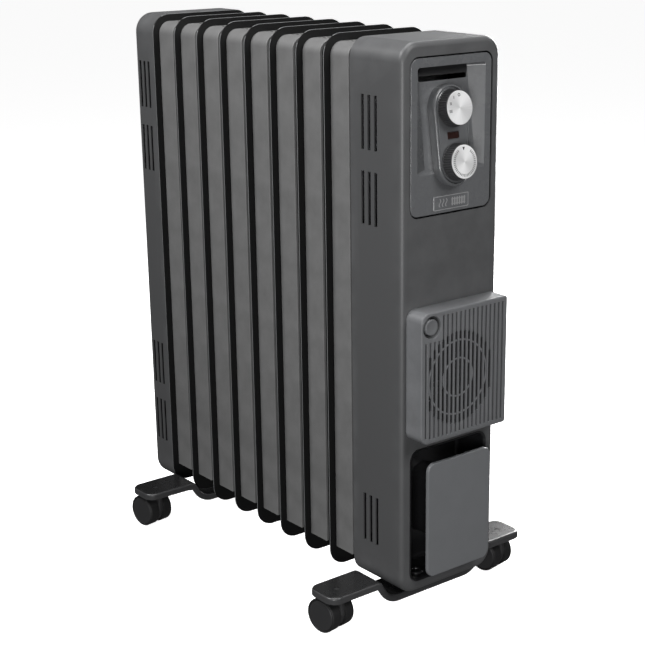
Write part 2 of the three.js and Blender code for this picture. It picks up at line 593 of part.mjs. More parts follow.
function fanMotor() {
  const back = motorFrontX - FAN.motorLength;
  const noseX = motorFrontX + FAN.noseLength;
  const can = rod('x', FAN.motorRadius, back, motorFrontX, grilleY, grilleZ);
  const nose = rod('x', FAN.motorRadius - FAN.noseStep, motorFrontX - GAP, noseX, grilleY, grilleZ);
  const bore = rod('x', FAN.shaftRadius + GAP, back + FAN.motorBack, noseX + CUT, grilleY, grilleZ);
  return union(can, nose).subtract(bore);
}

// The rotor is drawn round its own axis, with x = 0 at the back of the hub.
function fanRotor() {
  const depth = FAN.bladeDepth;
  let rotor = rod('x', FAN.hubRadius, 0, depth);
  for (let i = 0; i < FAN.blades; i += 1) {
    const blade = new THREE.BoxGeometry(depth, FAN.bladeThickness, FAN.bladeRadius - FAN.bladeRoot);
    blade.rotateZ(THREE.MathUtils.degToRad(FAN.bladeAngle));
    blade.translate(depth / 2, 0, (FAN.bladeRadius + FAN.bladeRoot) / 2);
    blade.rotateX((i / FAN.blades) * 2 * Math.PI);
    rotor = rotor.add(solidOf(blade));
  }
  rotor = rotor.intersect(rod('x', FAN.bladeRadius, 0, depth, 0, 0, DUCT_SIDES));
  return rotor.add(rod('x', FAN.shaftRadius, -FAN.shaftLength, GAP));
}

const rotorX = ductBackX + FAN.rotorGap;
const heaterX = rotorX + FAN.bladeDepth + FAN.heaterGap;

function fanHeater() {
  const r = FAN.heaterRadius;
  const end = heaterX + FAN.heaterDepth;
  const thick = FAN.barHeight / 2;
  let frame = ring('x', r, r - FAN.heaterRing, heaterX, end, grilleY, grilleZ);
  for (let i = 0; i < FAN.heaterBars; i += 1) {
    const z = grilleZ + (i - (FAN.heaterBars - 1) / 2) * (FAN.barSpread * r / FAN.heaterBars);
    const half = Math.sqrt((r - FAN.heaterRing / 2) ** 2 - (z - grilleZ) ** 2);
    frame = frame.add(box(heaterX + 1, end - 1, grilleY - half, grilleY + half, z - thick, z + thick));
  }
  return frame;
}

// The push button, drawn on its axis with x = 0 at the face of the fan cover.
function fanButton() {
  const cap = rod('x', FAN.buttonRadius, -FAN.capLength, -FAN.capSet);
  return cap.add(rod('x', FAN.stemRadius, -FAN.capLength - FAN.stemLength, -FAN.capLength + GAP));
}

function fanSwitch() {
  const x0 = housingFrontX + 2 * GAP;
  const x1 = x0 + FAN_SWITCH.depth;
  const half = FAN_SWITCH.size / 2;
  const lowY = -FAN.buttonY - half + FAN_SWITCH.sideCut;
  const can = box(x0, x1, lowY, -FAN.buttonY + half, buttonZ - half, buttonZ + half - FAN_SWITCH.topCut);
  return can.subtract(rod('x', FAN.stemRadius + GAP, x0 + FAN_SWITCH.blind, x1 + CUT, -FAN.buttonY, buttonZ));
}

// ---------------------------------------------------------------- cord store
const glandX = housingFrontX - GLAND.frontInset;
const glandY = -TRAY.width / 2 + GLAND.sideInset;

function cordTray() {
  const w = TRAY.wall;
  const front = housingFrontX;
  const outer = plateX(TRAY.width, TRAY.height, TRAY.corner, trayMidZ, trayBackX - w, front);
  const hollow = plateX(TRAY.width - 2 * w, TRAY.height - 2 * w, TRAY.corner - w, trayMidZ, trayBackX, front + CUT);
  const flangeX = front - HOUSING.wall - GAP;
  const f = TRAY.flange;
  const flange = plateX(TRAY.width + 2 * f, TRAY.height + 2 * f, TRAY.corner + f, trayMidZ, flangeX - w, flangeX);
  const hole = rod('z', GLAND.radius - GLAND.shoulder, trayBottomZ - CUT, trayBottomZ + w + CUT, glandX, glandY);
  return union(outer, flange).subtract(hollow).subtract(hole);
}

function cordCleat() {
  const x0 = housingFrontX + CLEAT.standoff;
  const z = trayMidZ - CLEAT.drop;
  const plate = filletSlab(CLEAT.width, CLEAT.height, CLEAT.corner, CLEAT.fillet, x0, x0 + CLEAT.thickness, z);
  const w = 2 * CLEAT.postWall;
  const outer = prism('x', stadium(CLEAT.postWidth, CLEAT.postHeight, 0, z), trayBackX + GAP, x0 + 2 * CLEAT.postCap);
  const inner = prism('x', stadium(CLEAT.postWidth - w, CLEAT.postHeight - w, 0, z), trayBackX, x0 + CLEAT.postCap);
  return plate.add(outer.subtract(inner));
}

function cordGland() {
  const z0 = trayBottomZ + TRAY.wall + GAP;
  const top = z0 + GLAND.collar;
  const collar = rod('z', GLAND.radius, z0, top, glandX, glandY);
  const neck = rod('z', GLAND.radius - GLAND.shoulder - GAP, top - GLAND.length, z0 + GAP, glandX, glandY);
  return union(collar, neck).subtract(rod('z', GLAND.bore, z0 - GLAND.length - CUT, top + CUT, glandX, glandY));
}

// ---------------------------------------------------------------- stand
// The side view of a foot bar: flat ends that drop steeply to a long saddle with round bends.
function footOutline() {
  const { halfLength: h, dropStart: a, dropEnd: b } = FOOT;
  const steepA = a - 0.3 * (a - b);
  const steepB = a - 0.4 * (a - b);
  const shape = new THREE.Shape();
  shape.moveTo(-h, footUnderZ);
  shape.lineTo(-a, footUnderZ);
  shape.bezierCurveTo(-steepA, footUnderZ, -steepB, saddleUnderZ, -b, saddleUnderZ);
  shape.lineTo(b, saddleUnderZ);
  shape.bezierCurveTo(steepB, saddleUnderZ, steepA, footUnderZ, a, footUnderZ);
  shape.lineTo(h, footUnderZ);
  shape.lineTo(h, footTopZ);
  shape.lineTo(a, footTopZ);
  shape.bezierCurveTo(steepA, footTopZ, steepB, saddleTopZ, b, saddleTopZ);
  shape.lineTo(-b, saddleTopZ);
  shape.bezierCurveTo(-steepB, saddleTopZ, -steepA, footTopZ, -a, footTopZ);
  shape.lineTo(-h, footTopZ);
  shape.closePath();
  return shape;
}

// A foot bar centred on x = 0, with a pad that carries the body at height padTopZ.
function foot(padTopZ) {
  const half = FOOT.width / 2;
  const bar = prism('x', footOutline(), -half, half, 5);
  const s = FOOT.sheet;
  const plan = (inset) => prism('z', roundRect(FOOT.width - 2 * inset, 2 * (FOOT.halfLength - inset),
    FOOT.corner - inset), 0, footTopZ + CUT);
  const hollow = bar.translate([0, 0, -s]).add(bar.translate([0, 0, s - FOOT.thickness])).intersect(plan(s));
  let shell = bar.intersect(plan(0)).subtract(hollow);
  for (const y of stemYs) {
    const x = FOOT.stemShift;
    shell = shell.add(rod('z', FOOT.bossRadius, footUnderZ + FOOT.bossInset, footTopZ - FOOT.bossInset, x, y));
    shell = shell.subtract(rod('z', HOOD.stemRadius + GAP, footUnderZ - CUT, footTopZ + CUT, x, y));
  }
  const pad = box(-FOOT.padWidth / 2, FOOT.padWidth / 2, -FOOT.padLength / 2, FOOT.padLength / 2,
    saddleTopZ - s / 2, padTopZ - GAP);
  return shell.add(pad).subtract(rod('z', BOLT.radius + GAP, saddleUnderZ - CUT, padTopZ + CUT, 0, 0));
}

const boltEndZ = saddleUnderZ + FOOT.sheet / 2;

// A hook bolt: a strap round the bottom header with a shank down through the rear foot.
function rearClampBolt() {
  const z = headerZ.bottom;
  const half = BOLT.strapWidth / 2;
  const strap = ring('x', HEADER.radius + GAP + BOLT.strapWall, HEADER.radius + GAP,
    rearFootX - half, rearFootX + half, 0, z, HEADER.sides);
  const shank = rod('z', BOLT.radius, boltEndZ, z - HEADER.radius - BOLT.strapWall / 2, rearFootX, 0);
  return strap.add(shank);
}

function frontClampBolt() {
  const seat = housingBottomZ + HOUSING.wall + GAP;
  const head = rod('z', BOLT.headRadius, seat, seat + BOLT.headHeight, frontFootX, 0, 6);
  return head.add(rod('z', BOLT.radius, boltEndZ, seat + GAP, frontFootX, 0));
}

// A wing nut on x = y = 0, tucked inside the hollow underside of the saddle.
function wingNut() {
  const top = saddleTopZ - FOOT.sheet - GAP;
  const bottom = top - NUT.height;
  const thin = NUT.wingThickness / 2;
  const wings = box(-thin, thin, -NUT.wingLength, NUT.wingLength, bottom, top);
  const bore = rod('z', BOLT.radius + GAP, bottom - CUT, top + CUT, 0, 0);
  return rod('z', NUT.radius, bottom, top, 0, 0, NUT.sides).add(wings).subtract(bore);
}

// A castor hood round its swivel axis (x = y = 0): web, axle stubs and stem. The wheels trail at -x.
function castorHood() {
  const web = WHEEL.hubGap / 2 - GAP;
  const axle = WHEEL.radius;
  const reach = WHEEL.hubGap / 2 + WHEEL.width - HOOD.axleInset;
  const crownTop = footUnderZ - GAP;
  const disc = rod('y', HOOD.webRadius, -web, web, axle, -WHEEL.trail);
  const neck = box(-HOOD.bossLength / 2, HOOD.bossLength / 2, -web, web, axle, crownTop);
  const stubs = rod('y', WHEEL.bore - GAP, -reach, reach, axle, -WHEEL.trail);
  const crown = rod('z', FOOT.bossRadius + HOOD.crownRim, 2 * WHEEL.radius + HOOD.crownClear, crownTop, 0, 0);
  const stem = rod('z', HOOD.stemRadius, crownTop - HOOD.crownClear, footTopZ - HOOD.stemTop, 0, 0);
  return union(disc, neck, stubs, crown, stem);
}

// A castor wheel on its own axle line (along y), with a dished outer face at +y.
function castorWheel() {
  const w = WHEEL.width;
  const r = WHEEL.radius;
  const c = WHEEL.chamfer;
  const profile = [
    [WHEEL.bore, 0], [r, 0], [r, w - c], [r - c, w], [r - c - WHEEL.rim, w],
    [r - 2 * c - WHEEL.rim, w - WHEEL.dish], [WHEEL.bore, w - WHEEL.dish], [WHEEL.bore, 0],
  ].map(([radius, y]) => new THREE.Vector2(radius, y));
  return solidOf(new THREE.LatheGeometry(profile, WHEEL.sides));
}

// ---------------------------------------------------------------- materials
const paint = (color, roughness, metalness = 0.1) => new THREE.MeshStandardMaterial({ color, roughness, metalness });
const LOOKS = {
  casing: () => paint(0x5c5d5e, 0.5),
  finPaint: () => paint(0x1b1c1d, 0.5),
  wrapPaint: () => paint(0x6b6c6c, 0.5),
  steel: () => paint(0x9a9c9e, 0.4, 0.9),
  copper: () => paint(0xa8653c, 0.35, 0.9),
  panelPlastic: () => paint(0x55595c, 0.35, 0),
  blackPlastic: () => paint(0x232425, 0.5, 0),
  fanPlastic: () => paint(0x6a6e71, 0.45, 0),
  knobPlastic: () => paint(0x2c2d2e, 0.4, 0.2),
  lensRed: () => paint(0x4a1414, 0.2, 0),
  footPaint: () => paint(0x3a3a3a, 0.3, 0.1),
  mica: () => paint(0xc9b98f, 0.7, 0),
};

// ---------------------------------------------------------------- assembly
const heater = new THREE.Group();
const body = new THREE.Group();
body.position.x = -totalLength / 2;
heater.add(body);

function place(name, solid, look, parent = body, position = [0, 0, 0], rotation = [0, 0, 0]) {
  const mesh = new THREE.Mesh(geometryOf(solid), LOOKS[look]());
  mesh.name = name;
  mesh.position.set(...position);
  mesh.rotation.set(...rotation);
  parent.add(mesh);
  return mesh;
}

place('rear_cover', rearCover(), 'casing');
const finSolid = fin();
const wrapSolid = wrap();
for (let i = 0; i < FIN.count; i += 1) {
  place(`fin_${i + 1}`, finSolid, 'finPaint', body, [finX(i), 0, 0]);
  place(`wrap_${i + 1}`, wrapSolid, 'wrapPaint', body, [finX(i) + FIN.sheet + GAP, 0, 0]);
}
place('top_header', topHeader(), 'finPaint');
place('bottom_header', bottomHeader(), 'finPaint');
place('heating_element', heatingElement(), 'copper');
place('control_housing', controlHousing(), 'casing');
place('housing_backplate', housingBackplate(), 'steel');
place('thermal_cutout', thermalCutout(), 'steel');
place('tilt_switch', tiltSwitch(), 'blackPlastic');
place('control_panel', controlPanel(), 'panelPlastic');
place('badge', badge(), 'steel');

const controls = new THREE.Group();
controls.position.set(floorX(podZ), 0, podZ);
controls.rotation.y = -slope;
body.add(controls);
place('knob_pod', knobPod(), 'panelPlastic', controls);
place('indicator_lens', indicatorLens(), 'lensRed', controls);
place('selector_knob', knob(), 'knobPlastic', controls, [0, 0, KNOB.spacing / 2]);
place('thermostat_knob', knob(), 'knobPlastic', controls, [0, 0, -KNOB.spacing / 2]);
place('selector_switch', selectorSwitch(), 'blackPlastic', controls, [0, 0, KNOB.spacing / 2]);
place('thermostat', thermostat(), 'steel', controls, [0, 0, -KNOB.spacing / 2]);

place('fan_grille', fanGrille(), 'fanPlastic');
place('fan_duct', fanDuct(), 'blackPlastic');
place('fan_motor', fanMotor(), 'steel');
place('fan_rotor', fanRotor(), 'blackPlastic', body, [rotorX, grilleY, grilleZ]);
place('fan_heater', fanHeater(), 'mica');
place('fan_button', fanButton(), 'fanPlastic', body, [totalLength, -FAN.buttonY, buttonZ]);
place('fan_switch', fanSwitch(), 'blackPlastic');
place('cord_tray', cordTray(), 'blackPlastic');
place('cord_cleat', cordCleat(), 'panelPlastic');
place('cord_gland', cordGland(), 'blackPlastic');

place('front_foot', foot(housingBottomZ), 'footPaint', body, [frontFootX, 0, 0]);
place('rear_foot', foot(finBottomZ), 'footPaint', body, [rearFootX, 0, 0]);
place('front_clamp_bolt', frontClampBolt(), 'steel');
place('rear_clamp_bolt', rearClampBolt(), 'steel');
place('front_wing_nut', wingNut(), 'steel', body, [frontFootX, 0, 0]);
place('rear_wing_nut', wingNut(), 'steel', body, [rearFootX, 0, 0]);

const hoodSolid = castorHood();
const wheelSolid = castorWheel();
for (const [end, footX] of [['front', frontFootX], ['rear', rearFootX]]) {
  for (const [side, y] of [['left', -FOOT.stemY], ['right', FOOT.stemY]]) {
    const castor = new THREE.Group();
    castor.position.set(footX + FOOT.stemShift, y, 0);
    castor.rotation.z = THREE.MathUtils.degToRad(HOOD.turn);
    body.add(castor);
    place(`castor_${end}_${side}_hood`, hoodSolid, 'blackPlastic', castor);
    for (const [which, turn, sign] of [['a', Math.PI, -1], ['b', 0, 1]]) {
      place(`castor_${end}_${side}_wheel_${which}`, wheelSolid, 'blackPlastic', castor,
        [-WHEEL.trail, sign * WHEEL.hubGap / 2, WHEEL.radius], [turn, 0, 0]);
    }
  }
}

export default heater;
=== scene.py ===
import json
import math

import bmesh
import bpy
from mathutils import Matrix, Vector

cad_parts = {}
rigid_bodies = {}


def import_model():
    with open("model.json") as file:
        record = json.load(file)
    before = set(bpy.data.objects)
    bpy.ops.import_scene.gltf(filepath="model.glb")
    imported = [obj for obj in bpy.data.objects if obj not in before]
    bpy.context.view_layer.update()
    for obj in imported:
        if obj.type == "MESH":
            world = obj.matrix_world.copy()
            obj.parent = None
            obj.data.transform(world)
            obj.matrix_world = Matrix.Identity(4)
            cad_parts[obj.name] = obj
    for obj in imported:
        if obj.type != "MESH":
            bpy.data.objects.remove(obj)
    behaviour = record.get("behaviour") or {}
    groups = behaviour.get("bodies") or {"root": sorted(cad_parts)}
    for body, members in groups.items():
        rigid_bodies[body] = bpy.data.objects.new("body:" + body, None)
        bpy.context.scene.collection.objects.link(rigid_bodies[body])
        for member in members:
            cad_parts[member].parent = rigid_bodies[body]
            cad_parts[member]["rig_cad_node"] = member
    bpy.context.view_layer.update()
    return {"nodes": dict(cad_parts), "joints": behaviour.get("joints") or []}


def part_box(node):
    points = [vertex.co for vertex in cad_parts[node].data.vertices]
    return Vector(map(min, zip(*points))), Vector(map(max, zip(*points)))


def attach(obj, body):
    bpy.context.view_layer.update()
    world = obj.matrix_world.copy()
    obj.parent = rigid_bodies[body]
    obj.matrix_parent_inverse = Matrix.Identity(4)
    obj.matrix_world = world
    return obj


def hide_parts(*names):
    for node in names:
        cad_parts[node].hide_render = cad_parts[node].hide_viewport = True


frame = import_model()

bl_info = {
    "name": "Oil Filled Radiator Looks",
    "version": (1, 0, 0),
    "blender": (4, 5, 0),
    "location": "View3D > Sidebar > Radiator",
    "description": "Builds the finished outside of an oil filled radiator heater round its CAD frame",
    "category": "Object",
}

MM = 0.001
CASTORS = [(end, side) for end in ("front", "rear") for side in ("left", "right")]
FIN_COUNT = 8
STEPS = 10  # sides of a quarter round on the larger corners

# Sizes in millimetres that the frame's boxes don't give.
COVER = {"corner": 22.0, "fillet": 8.0, "sheet": 1.2, "slot_pitch": 9.0}
HOUSING = {"corner": 19.5, "fillet": 6.0, "sheet": 1.6, "slot_pitch": 10.0, "slot_share": 0.37}
SLOT = {"width": 4.5, "height": 54.0, "gap": 21.0, "from_top": 54.0, "from_bottom": 51.5}
FIN = {"corner": 22.0, "sheet": 1.2, "chamber": (104.0, 526.0), "chamber_corner": 14.0, "chamber_depth": 8.0}
WRAP = {"corner": 14.0, "sheet": 1.0, "roll": 2.2}
HEADER = {"radius": 24.0, "collar": 27.0}
PANEL = {
    "width": 105.4, "height": 153.0, "corner": 9.0, "from_top": 16.0, "groove": 1.6, "lip": 3.5,
    "window": (89.0, 104.0), "window_drop": 9.0, "slope": math.radians(8.5), "bank": 11.0,
    "foot_depth": 1.0, "pod_rise": 35.0, "vent": (63.0, 5.0), "vent_drop": 15.5,
}
POD = {"width": 45.0, "height": 100.0, "face": 8.3}
KNOB = {"radius": 17.2, "face": 16.5, "base": 8.6, "top": 21.3, "spacing": 52.3, "flutes": 44, "depth": 0.95}
LENS = {"width": 14.7, "height": 6.5}
BADGE = {"width": 47.0, "height": 15.0}
FAN = {
    "corner": 10.0, "sharp": 2.5, "fillet": 1.3, "wall": 2.2,
    "pitch": 5.8, "slot": 3.3, "groove": 2.1, "slots": 19,
    "radius": 49.0, "centre_y": -8.0, "drop": 5.5, "rings": (20.0, 39.0), "ring_width": 1.7,
    "field": (107.4, 127.0), "field_corner": 5.0, "layer": 1.5,
    "button_y": -44.5, "button_rise": 53.5, "button": 8.4, "rim": 11.5,
}
TRAY = {"width": 106.0, "height": 148.0, "corner": 12.0, "rise": 12.0, "depth": 41.0}
CLEAT = {"corner": 9.0, "thickness": 4.5, "post": (40.0, 78.0)}
FOOT = {
    "corner": 12.0, "thickness": 8.0, "fillet": 2.8, "sheet": 2.0, "start": 76.0, "drop": 21.0,
    "low_bend": 20.0, "high_bend": 9.0, "slope": math.radians(58), "pad": (26.0, 60.0),
}
STEM = {"y": 116.0, "shift": 2.0, "clear": 0.8}  # the castor stems in the feet

# Camera: place in metres, yaw and pitch in degrees, roll in radians, and its shift on the sensor.
CAMERA = {
    "place": (1.29146, -0.97430, 0.74291), "yaw": 50.672, "pitch": 17.076, "roll": -0.005,
    "lens": 82.40, "sensor": 36.0, "shift": (-0.07572, 0.03605), "reach": 100.0,
}

# Studio lights: place, aim and size in metres. Their power is in the stage settings.
LIGHTS = {
    "side": ((-0.25, -1.0, 1.45), (-0.05, 0, 0.5), (0.9, 0.5)),
    "edge": ((1.3, -1.1, 0.35), (0.1, 0, 0.3), (0.5, 0.5)),
    "end": ((1.35, 0.25, 1.3), (0.2, 0, 0.4), (0.6, 0.6)),
    "top": ((0.1, 0.05, 1.6), (0.05, 0, 0.6), (1.0, 0.7)),
    "rim": ((-0.5, 1.5, 0.7), (0.2, 0.1, 0.45), (0.8, 1.2)),
}

# Grey of the surround from straight below (0) to straight above (1): bright below the horizon, dim above.
SKY_STOPS = ((0.0, 1.0), (0.3, 0.9), (0.36, 0.08), (0.5, 0.08), (1.0, 0.12))


# ------------------------------------------------------------------ frame places, in millimetres
def span(node):
    """Lowest and highest corner of a CAD node."""
    low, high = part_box(node)
    return low / MM, high / MM


def middle(node):
    low, high = span(node)
    return (low + high) / 2


HOUSE_LOW, HOUSE_HIGH = span("control_housing")
FRONT = HOUSE_HIGH.x
PANEL_TOP = HOUSE_HIGH.z - PANEL["from_top"]
PANEL_MID = PANEL_TOP - PANEL["height"] / 2
WINDOW_TOP = PANEL_TOP - PANEL["window_drop"]
WINDOW_FOOT = WINDOW_TOP - PANEL["window"][1]
POD_Z = WINDOW_FOOT + PANEL["pod_rise"]
TRAY_MID = HOUSE_LOW.z + TRAY["rise"] + TRAY["height"] / 2
FAN_MID = middle("fan_grille")
FAN_FRONT = span("fan_grille")[1].x
OUTLET_Z = FAN_MID.z - FAN["drop"]
BUTTON_Z = FAN_MID.z + FAN["button_rise"]


def floor_x(z):
    """Depth of the sloping floor of the control well at height z."""
    return FRONT - PANEL["foot_depth"] - (z - WINDOW_FOOT) * math.tan(PANEL["slope"])


WELL = Matrix.Translation(Vector((floor_x(POD_Z), 0, POD_Z)) * MM) @ Matrix.Rotation(-PANEL["slope"], 4, "Y")


# ------------------------------------------------------------------ mesh building
def rounded(width, height, radius, cu=0.0, cv=0.0, steps=STEPS, high=None):
    """Points round a rectangle with round corners, anticlockwise. high is the radius on the high u side."""
    most = min(width, height) / 2 - 1e-3
    points = []
    for quarter, (su, sv) in enumerate(((1, 1), (-1, 1), (-1, -1), (1, -1))):
        r = max(min(radius if high is None or su < 0 else high, most), 1e-3)
        for i in range(steps + 1):
            angle = (quarter + i / steps) * math.pi / 2
            points.append((
                cu + su * (width / 2 - r) + r * math.cos(angle),
                cv + sv * (height / 2 - r) + r * math.sin(angle),
            ))
    return points


def insets(width, height, radius, cu=0.0, cv=0.0, steps=STEPS, high=None):
    """A function that gives the points of a rounded rectangle made smaller by an inset, or larger below 0."""
    def outline(inset):
        sharp = None if high is None else high - inset
        return rounded(width - 2 * inset, height - 2 * inset, radius - inset, cu, cv, steps, sharp)
    return outline


def quarter(radius, steps):
    """A quarter round from its side to its face, as (inset, depth under the face) pairs."""
    turns = [i / steps * math.pi / 2 for i in range(steps + 1)]
    return [(radius * (1 - math.cos(t)), radius * (1 - math.sin(t))) for t in turns]


def circle(radius, cu=0.0, cv=0.0, sides=48):
    turn = 2 * math.pi / sides
    return [(cu + radius * math.cos(i * turn), cv + radius * math.sin(i * turn)) for i in range(sides)]


class Shape:
    """A mesh being built in millimetres from loops of points across one axis."""

    ORDER = {"x": (0, 1, 2), "y": (2, 0, 1), "z": (1, 2, 0)}

    def __init__(self, axis="x"):
        self.bm = bmesh.new()
        self.order = self.ORDER[axis]

    def vert(self, u, v, depth):
        found = (depth, u, v)
        return self.bm.verts.new(Vector([found[i] for i in self.order]) * MM)

    def ring(self, points, depth):
        """A loop of vertices. depth is one number, or a function of (u, v)."""
        if callable(depth):
            return [self.vert(u, v, depth(u, v)) for u, v in points]
        return [self.vert(u, v, depth) for u, v in points]

    def bridge(self, first, second):
        for i in range(len(first)):
            j = (i + 1) % len(first)
            self.bm.faces.new((first[i], first[j], second[j], second[i]))

    def loft(self, sections, start=True, end=True):
        """Joins (points, depth) sections in order and caps the ends asked for."""
        rings = [self.ring(points, depth) for points, depth in sections]
        for first, second in zip(rings, rings[1:]):
            self.bridge(first, second)
        if start:
            self.bm.faces.new(rings[0])
        if end:
            self.bm.faces.new(rings[-1])
        return rings

    def tube(self, sections):
        """Joins (points, depth) sections in order and the last to the first."""
        rings = self.loft(sections, start=False, end=False)
        self.bridge(rings[-1], rings[0])

    def turn(self, profile, cu=0.0, cv=0.0, base=0.0, sides=48, start=True, end=True):
        """Joins circles given as (radius, depth from base) pairs."""
        sections = [(circle(radius, cu, cv, sides), base + depth) for radius, depth in profile]
        return self.loft(sections, start, end)

    def fill(self, loops):
        """A flat face inside the first loop with the other loops as holes."""
        edges = []
        for loop in loops:
            for a, b in zip(loop, loop[1:] + loop[:1]):
                edges.append(self.bm.edges.get((a, b)) or self.bm.edges.new((a, b)))
        bmesh.ops.triangle_fill(self.bm, edges=edges, use_beauty=True, use_dissolve=False)

    def slab(self, points, low, high):
        return self.loft([(points, low), (points, high)])

    def plate(self, outline, low, high, bevel, arc=3):
        """A slab with round rims. outline(inset) gives its points."""
        edge = quarter(bevel, arc)
        lower = [(outline(inset), low + depth) for inset, depth in reversed(edge)]
        upper = [(outline(inset), high - depth) for inset, depth in edge]
        return self.loft(lower + upper)

    def soften(self, edges, width, segments=3):
        bmesh.ops.bevel(self.bm, geom=list(edges), offset=width * MM, offset_type="OFFSET",
                        segments=segments, profile=0.5, affect="EDGES", clamp_overlap=True)

    def merge(self, other):
        mesh = bpy.data.meshes.new("merge")
        other.bm.to_mesh(mesh)
        self.bm.from_mesh(mesh)
        bpy.data.meshes.remove(mesh)

    def box(self, low, high):
        corners = bmesh.ops.create_cube(self.bm, size=1.0)["verts"]
        low, high = Vector(low), Vector(high)
        for v in corners:
            v.co = Vector([(low[i] + high[i]) / 2 + v.co[i] * (high[i] - low[i]) for i in range(3)]) * MM

    def mesh(self, name):
        bmesh.ops.recalc_face_normals(self.bm, faces=self.bm.faces)
        mesh = bpy.data.meshes.new(name)
        self.bm.to_mesh(mesh)
        self.bm.free()
        return mesh


def linked(name, mesh, at=None):
    made = bpy.data.objects.new(name, mesh)
    bpy.context.scene.collection.objects.link(made)
    if at is not None:
        made.matrix_world = at
    return made


def worked(mesh, thickness=0.0, cutter=None, inside=0):
    """The mesh with a wall thickness grown inwards and a cutter taken away. inside counts on to its paint."""
    while len(mesh.materials) <= inside:
        mesh.materials.append(None)
    blank = linked("blank", mesh)
    used = [blank]
    if thickness:
        wall = blank.modifiers.new("wall", "SOLIDIFY")
        wall.thickness = thickness * MM
        wall.offset = -1.0
        wall.use_even_offset = True
        wall.material_offset = inside
    if cutter is not None:
        tool = linked("tool", cutter.mesh("tool"))
        used.append(tool)
        cut = blank.modifiers.new("cut", "BOOLEAN")
        cut.operation = "DIFFERENCE"
        cut.solver = "EXACT"
        cut.object = tool
    bpy.context.view_layer.update()
    graph = bpy.context.evaluated_depsgraph_get()
    done = bpy.data.meshes.new_from_object(blank.evaluated_get(graph))
    for made in used:
        bpy.data.objects.remove(made)
    return done


def show(name, mesh, finish, body="body", stands_for=(), at=None, sharp=32.0, weighted=True):
    """Puts a finished mesh in the scene as a piece that rides on a CAD body."""
    paints = finish if isinstance(finish, (list, tuple)) else (finish,)
    if not any(mesh.materials):
        while len(mesh.materials) < len(paints):
            mesh.materials.append(None)
        for i, paint in enumerate(paints):
            mesh.materials[i] = paint
    mesh.shade_smooth()
    mesh.set_sharp_from_angle(angle=math.radians(sharp))
    made = linked(name, mesh, at)
    if weighted:
        even = made.modifiers.new("even_normals", "WEIGHTED_NORMAL")
        even.keep_sharp = True
        even.weight = 60
    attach(made, body)
    if stands_for:
        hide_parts(*stands_for)
    return made


def keep(node, finish):
    """Gives a CAD node that stays on show its finish."""
    data = frame["nodes"][node].data
    data.materials.clear()
    data.materials.append(finish)


# ------------------------------------------------------------------ shader building
class Wire:
    """A shader socket. Adding to it or multiplying it makes a Math node."""

    def __init__(self, shop, socket):
        self.shop = shop
        self.socket = socket

    def __add__(self, other):
        return self.shop.math("ADD", self, other)

    def __radd__(self, other):
        return self.shop.math("ADD", other, self)

    def __mul__(self, other):
        return self.shop.math("MULTIPLY", self, other)


class Shop:
    """One material and its nodes."""

    def __init__(self, name):
        self.material = bpy.data.materials.new(name)
        self.material.use_nodes = True
        self.nodes = self.material.node_tree.nodes
        self.surface = self.nodes["Principled BSDF"]

    def node(self, kind, settings=None, values=None, output=0):
        made = self.nodes.new(kind)
        for key, value in (settings or {}).items():
            setattr(made, key, value)
        for key, value in (values or {}).items():
            self.put(made.inputs[key], value)
        return Wire(self, made.outputs[output])

    def put(self, socket, value):
        if isinstance(value, Wire):
            self.material.node_tree.links.new(value.socket, socket)
        else:
            socket.default_value = value

    def set(self, **values):
        for key, value in values.items():
            self.put(self.surface.inputs[key.replace("_", " ")], value)

    def place(self):
        return self.node("ShaderNodeTexCoord", output="Object")

    def math(self, operation, *values):
        return self.node("ShaderNodeMath", {"operation": operation}, dict(enumerate(values)))

    def across(self, place):
        """The object's own y and z at a place."""
        split = self.node("ShaderNodeSeparateXYZ", {}, {"Vector": place}).socket.node
        return Wire(self, split.outputs["Y"]), Wire(self, split.outputs["Z"])

    def streaks(self, along, scale=1.0, **more):
        """Noise that varies along one value only."""
        return self.node("ShaderNodeTexNoise", {"noise_dimensions": "1D"},
                         {"W": along, "Scale": scale, **more})

    def noise(self, scale, detail=2.0, rough=0.5, place=None):
        return self.node("ShaderNodeTexNoise", {"noise_dimensions": "3D"},
                         {"Vector": place or self.place(), "Scale": scale, "Detail": detail,
                          "Roughness": rough})

    def band(self, value, low, high):
        """0 at low and under, 1 at high and over."""
        return self.node("ShaderNodeMapRange", {"clamp": True},
                         {"Value": value, "From Min": low, "From Max": high})

    def mix(self, share, first, second):
        return self.node("ShaderNodeMix", {"data_type": "RGBA", "blend_type": "MIX"},
                         {0: share, 6: first, 7: second}, output=2)

    def bump(self, height, distance, strength=1.0):
        return self.node("ShaderNodeBump", {}, {"Strength": strength, "Distance": distance, "Height": height})


def shade(colour, factor):
    return tuple(min(1.0, c * factor) for c in colour[:3]) + (1.0,)


def coated(name, colour, roughness, grain=2200.0, depth=0.00002, cloud=0.05, wear=0.5, metallic=0.0,
           coat=0.0, coat_roughness=0.2, specular=0.5):
    """Paint or moulded plastic: soft colour clouds, a fine grain, rubbed edges and dust in the roughness."""
    shop = Shop(name)
    place = shop.place()
    clouds = shop.noise(7.0, 3.0, 0.55, place)
    fine = shop.noise(grain, 2.0, 0.6, place)
    smudge = shop.noise(38.0, 4.0, 0.6, place)
    edge = shop.band(shop.node("ShaderNodeNewGeometry", output="Pointiness"), 0.505, 0.56)
    tint = shop.mix(clouds, shade(colour, 1 - cloud), shade(colour, 1 + cloud))
    tint = shop.mix(fine * 0.35, tint, shade(colour, 1 + 2 * cloud))
    tint = shop.mix(edge * shop.band(smudge, 0.35, 0.65) * (wear * 0.5), tint, shade(colour, 1.9))
    uneven = roughness - 0.05 + smudge * 0.08 + fine * 0.04
    shop.set(Base_Color=tint, Roughness=uneven, Metallic=metallic, Normal=shop.bump(fine, depth),
             Coat_Weight=coat, Coat_Roughness=coat_roughness, Specular_IOR_Level=specular)
    return shop.material


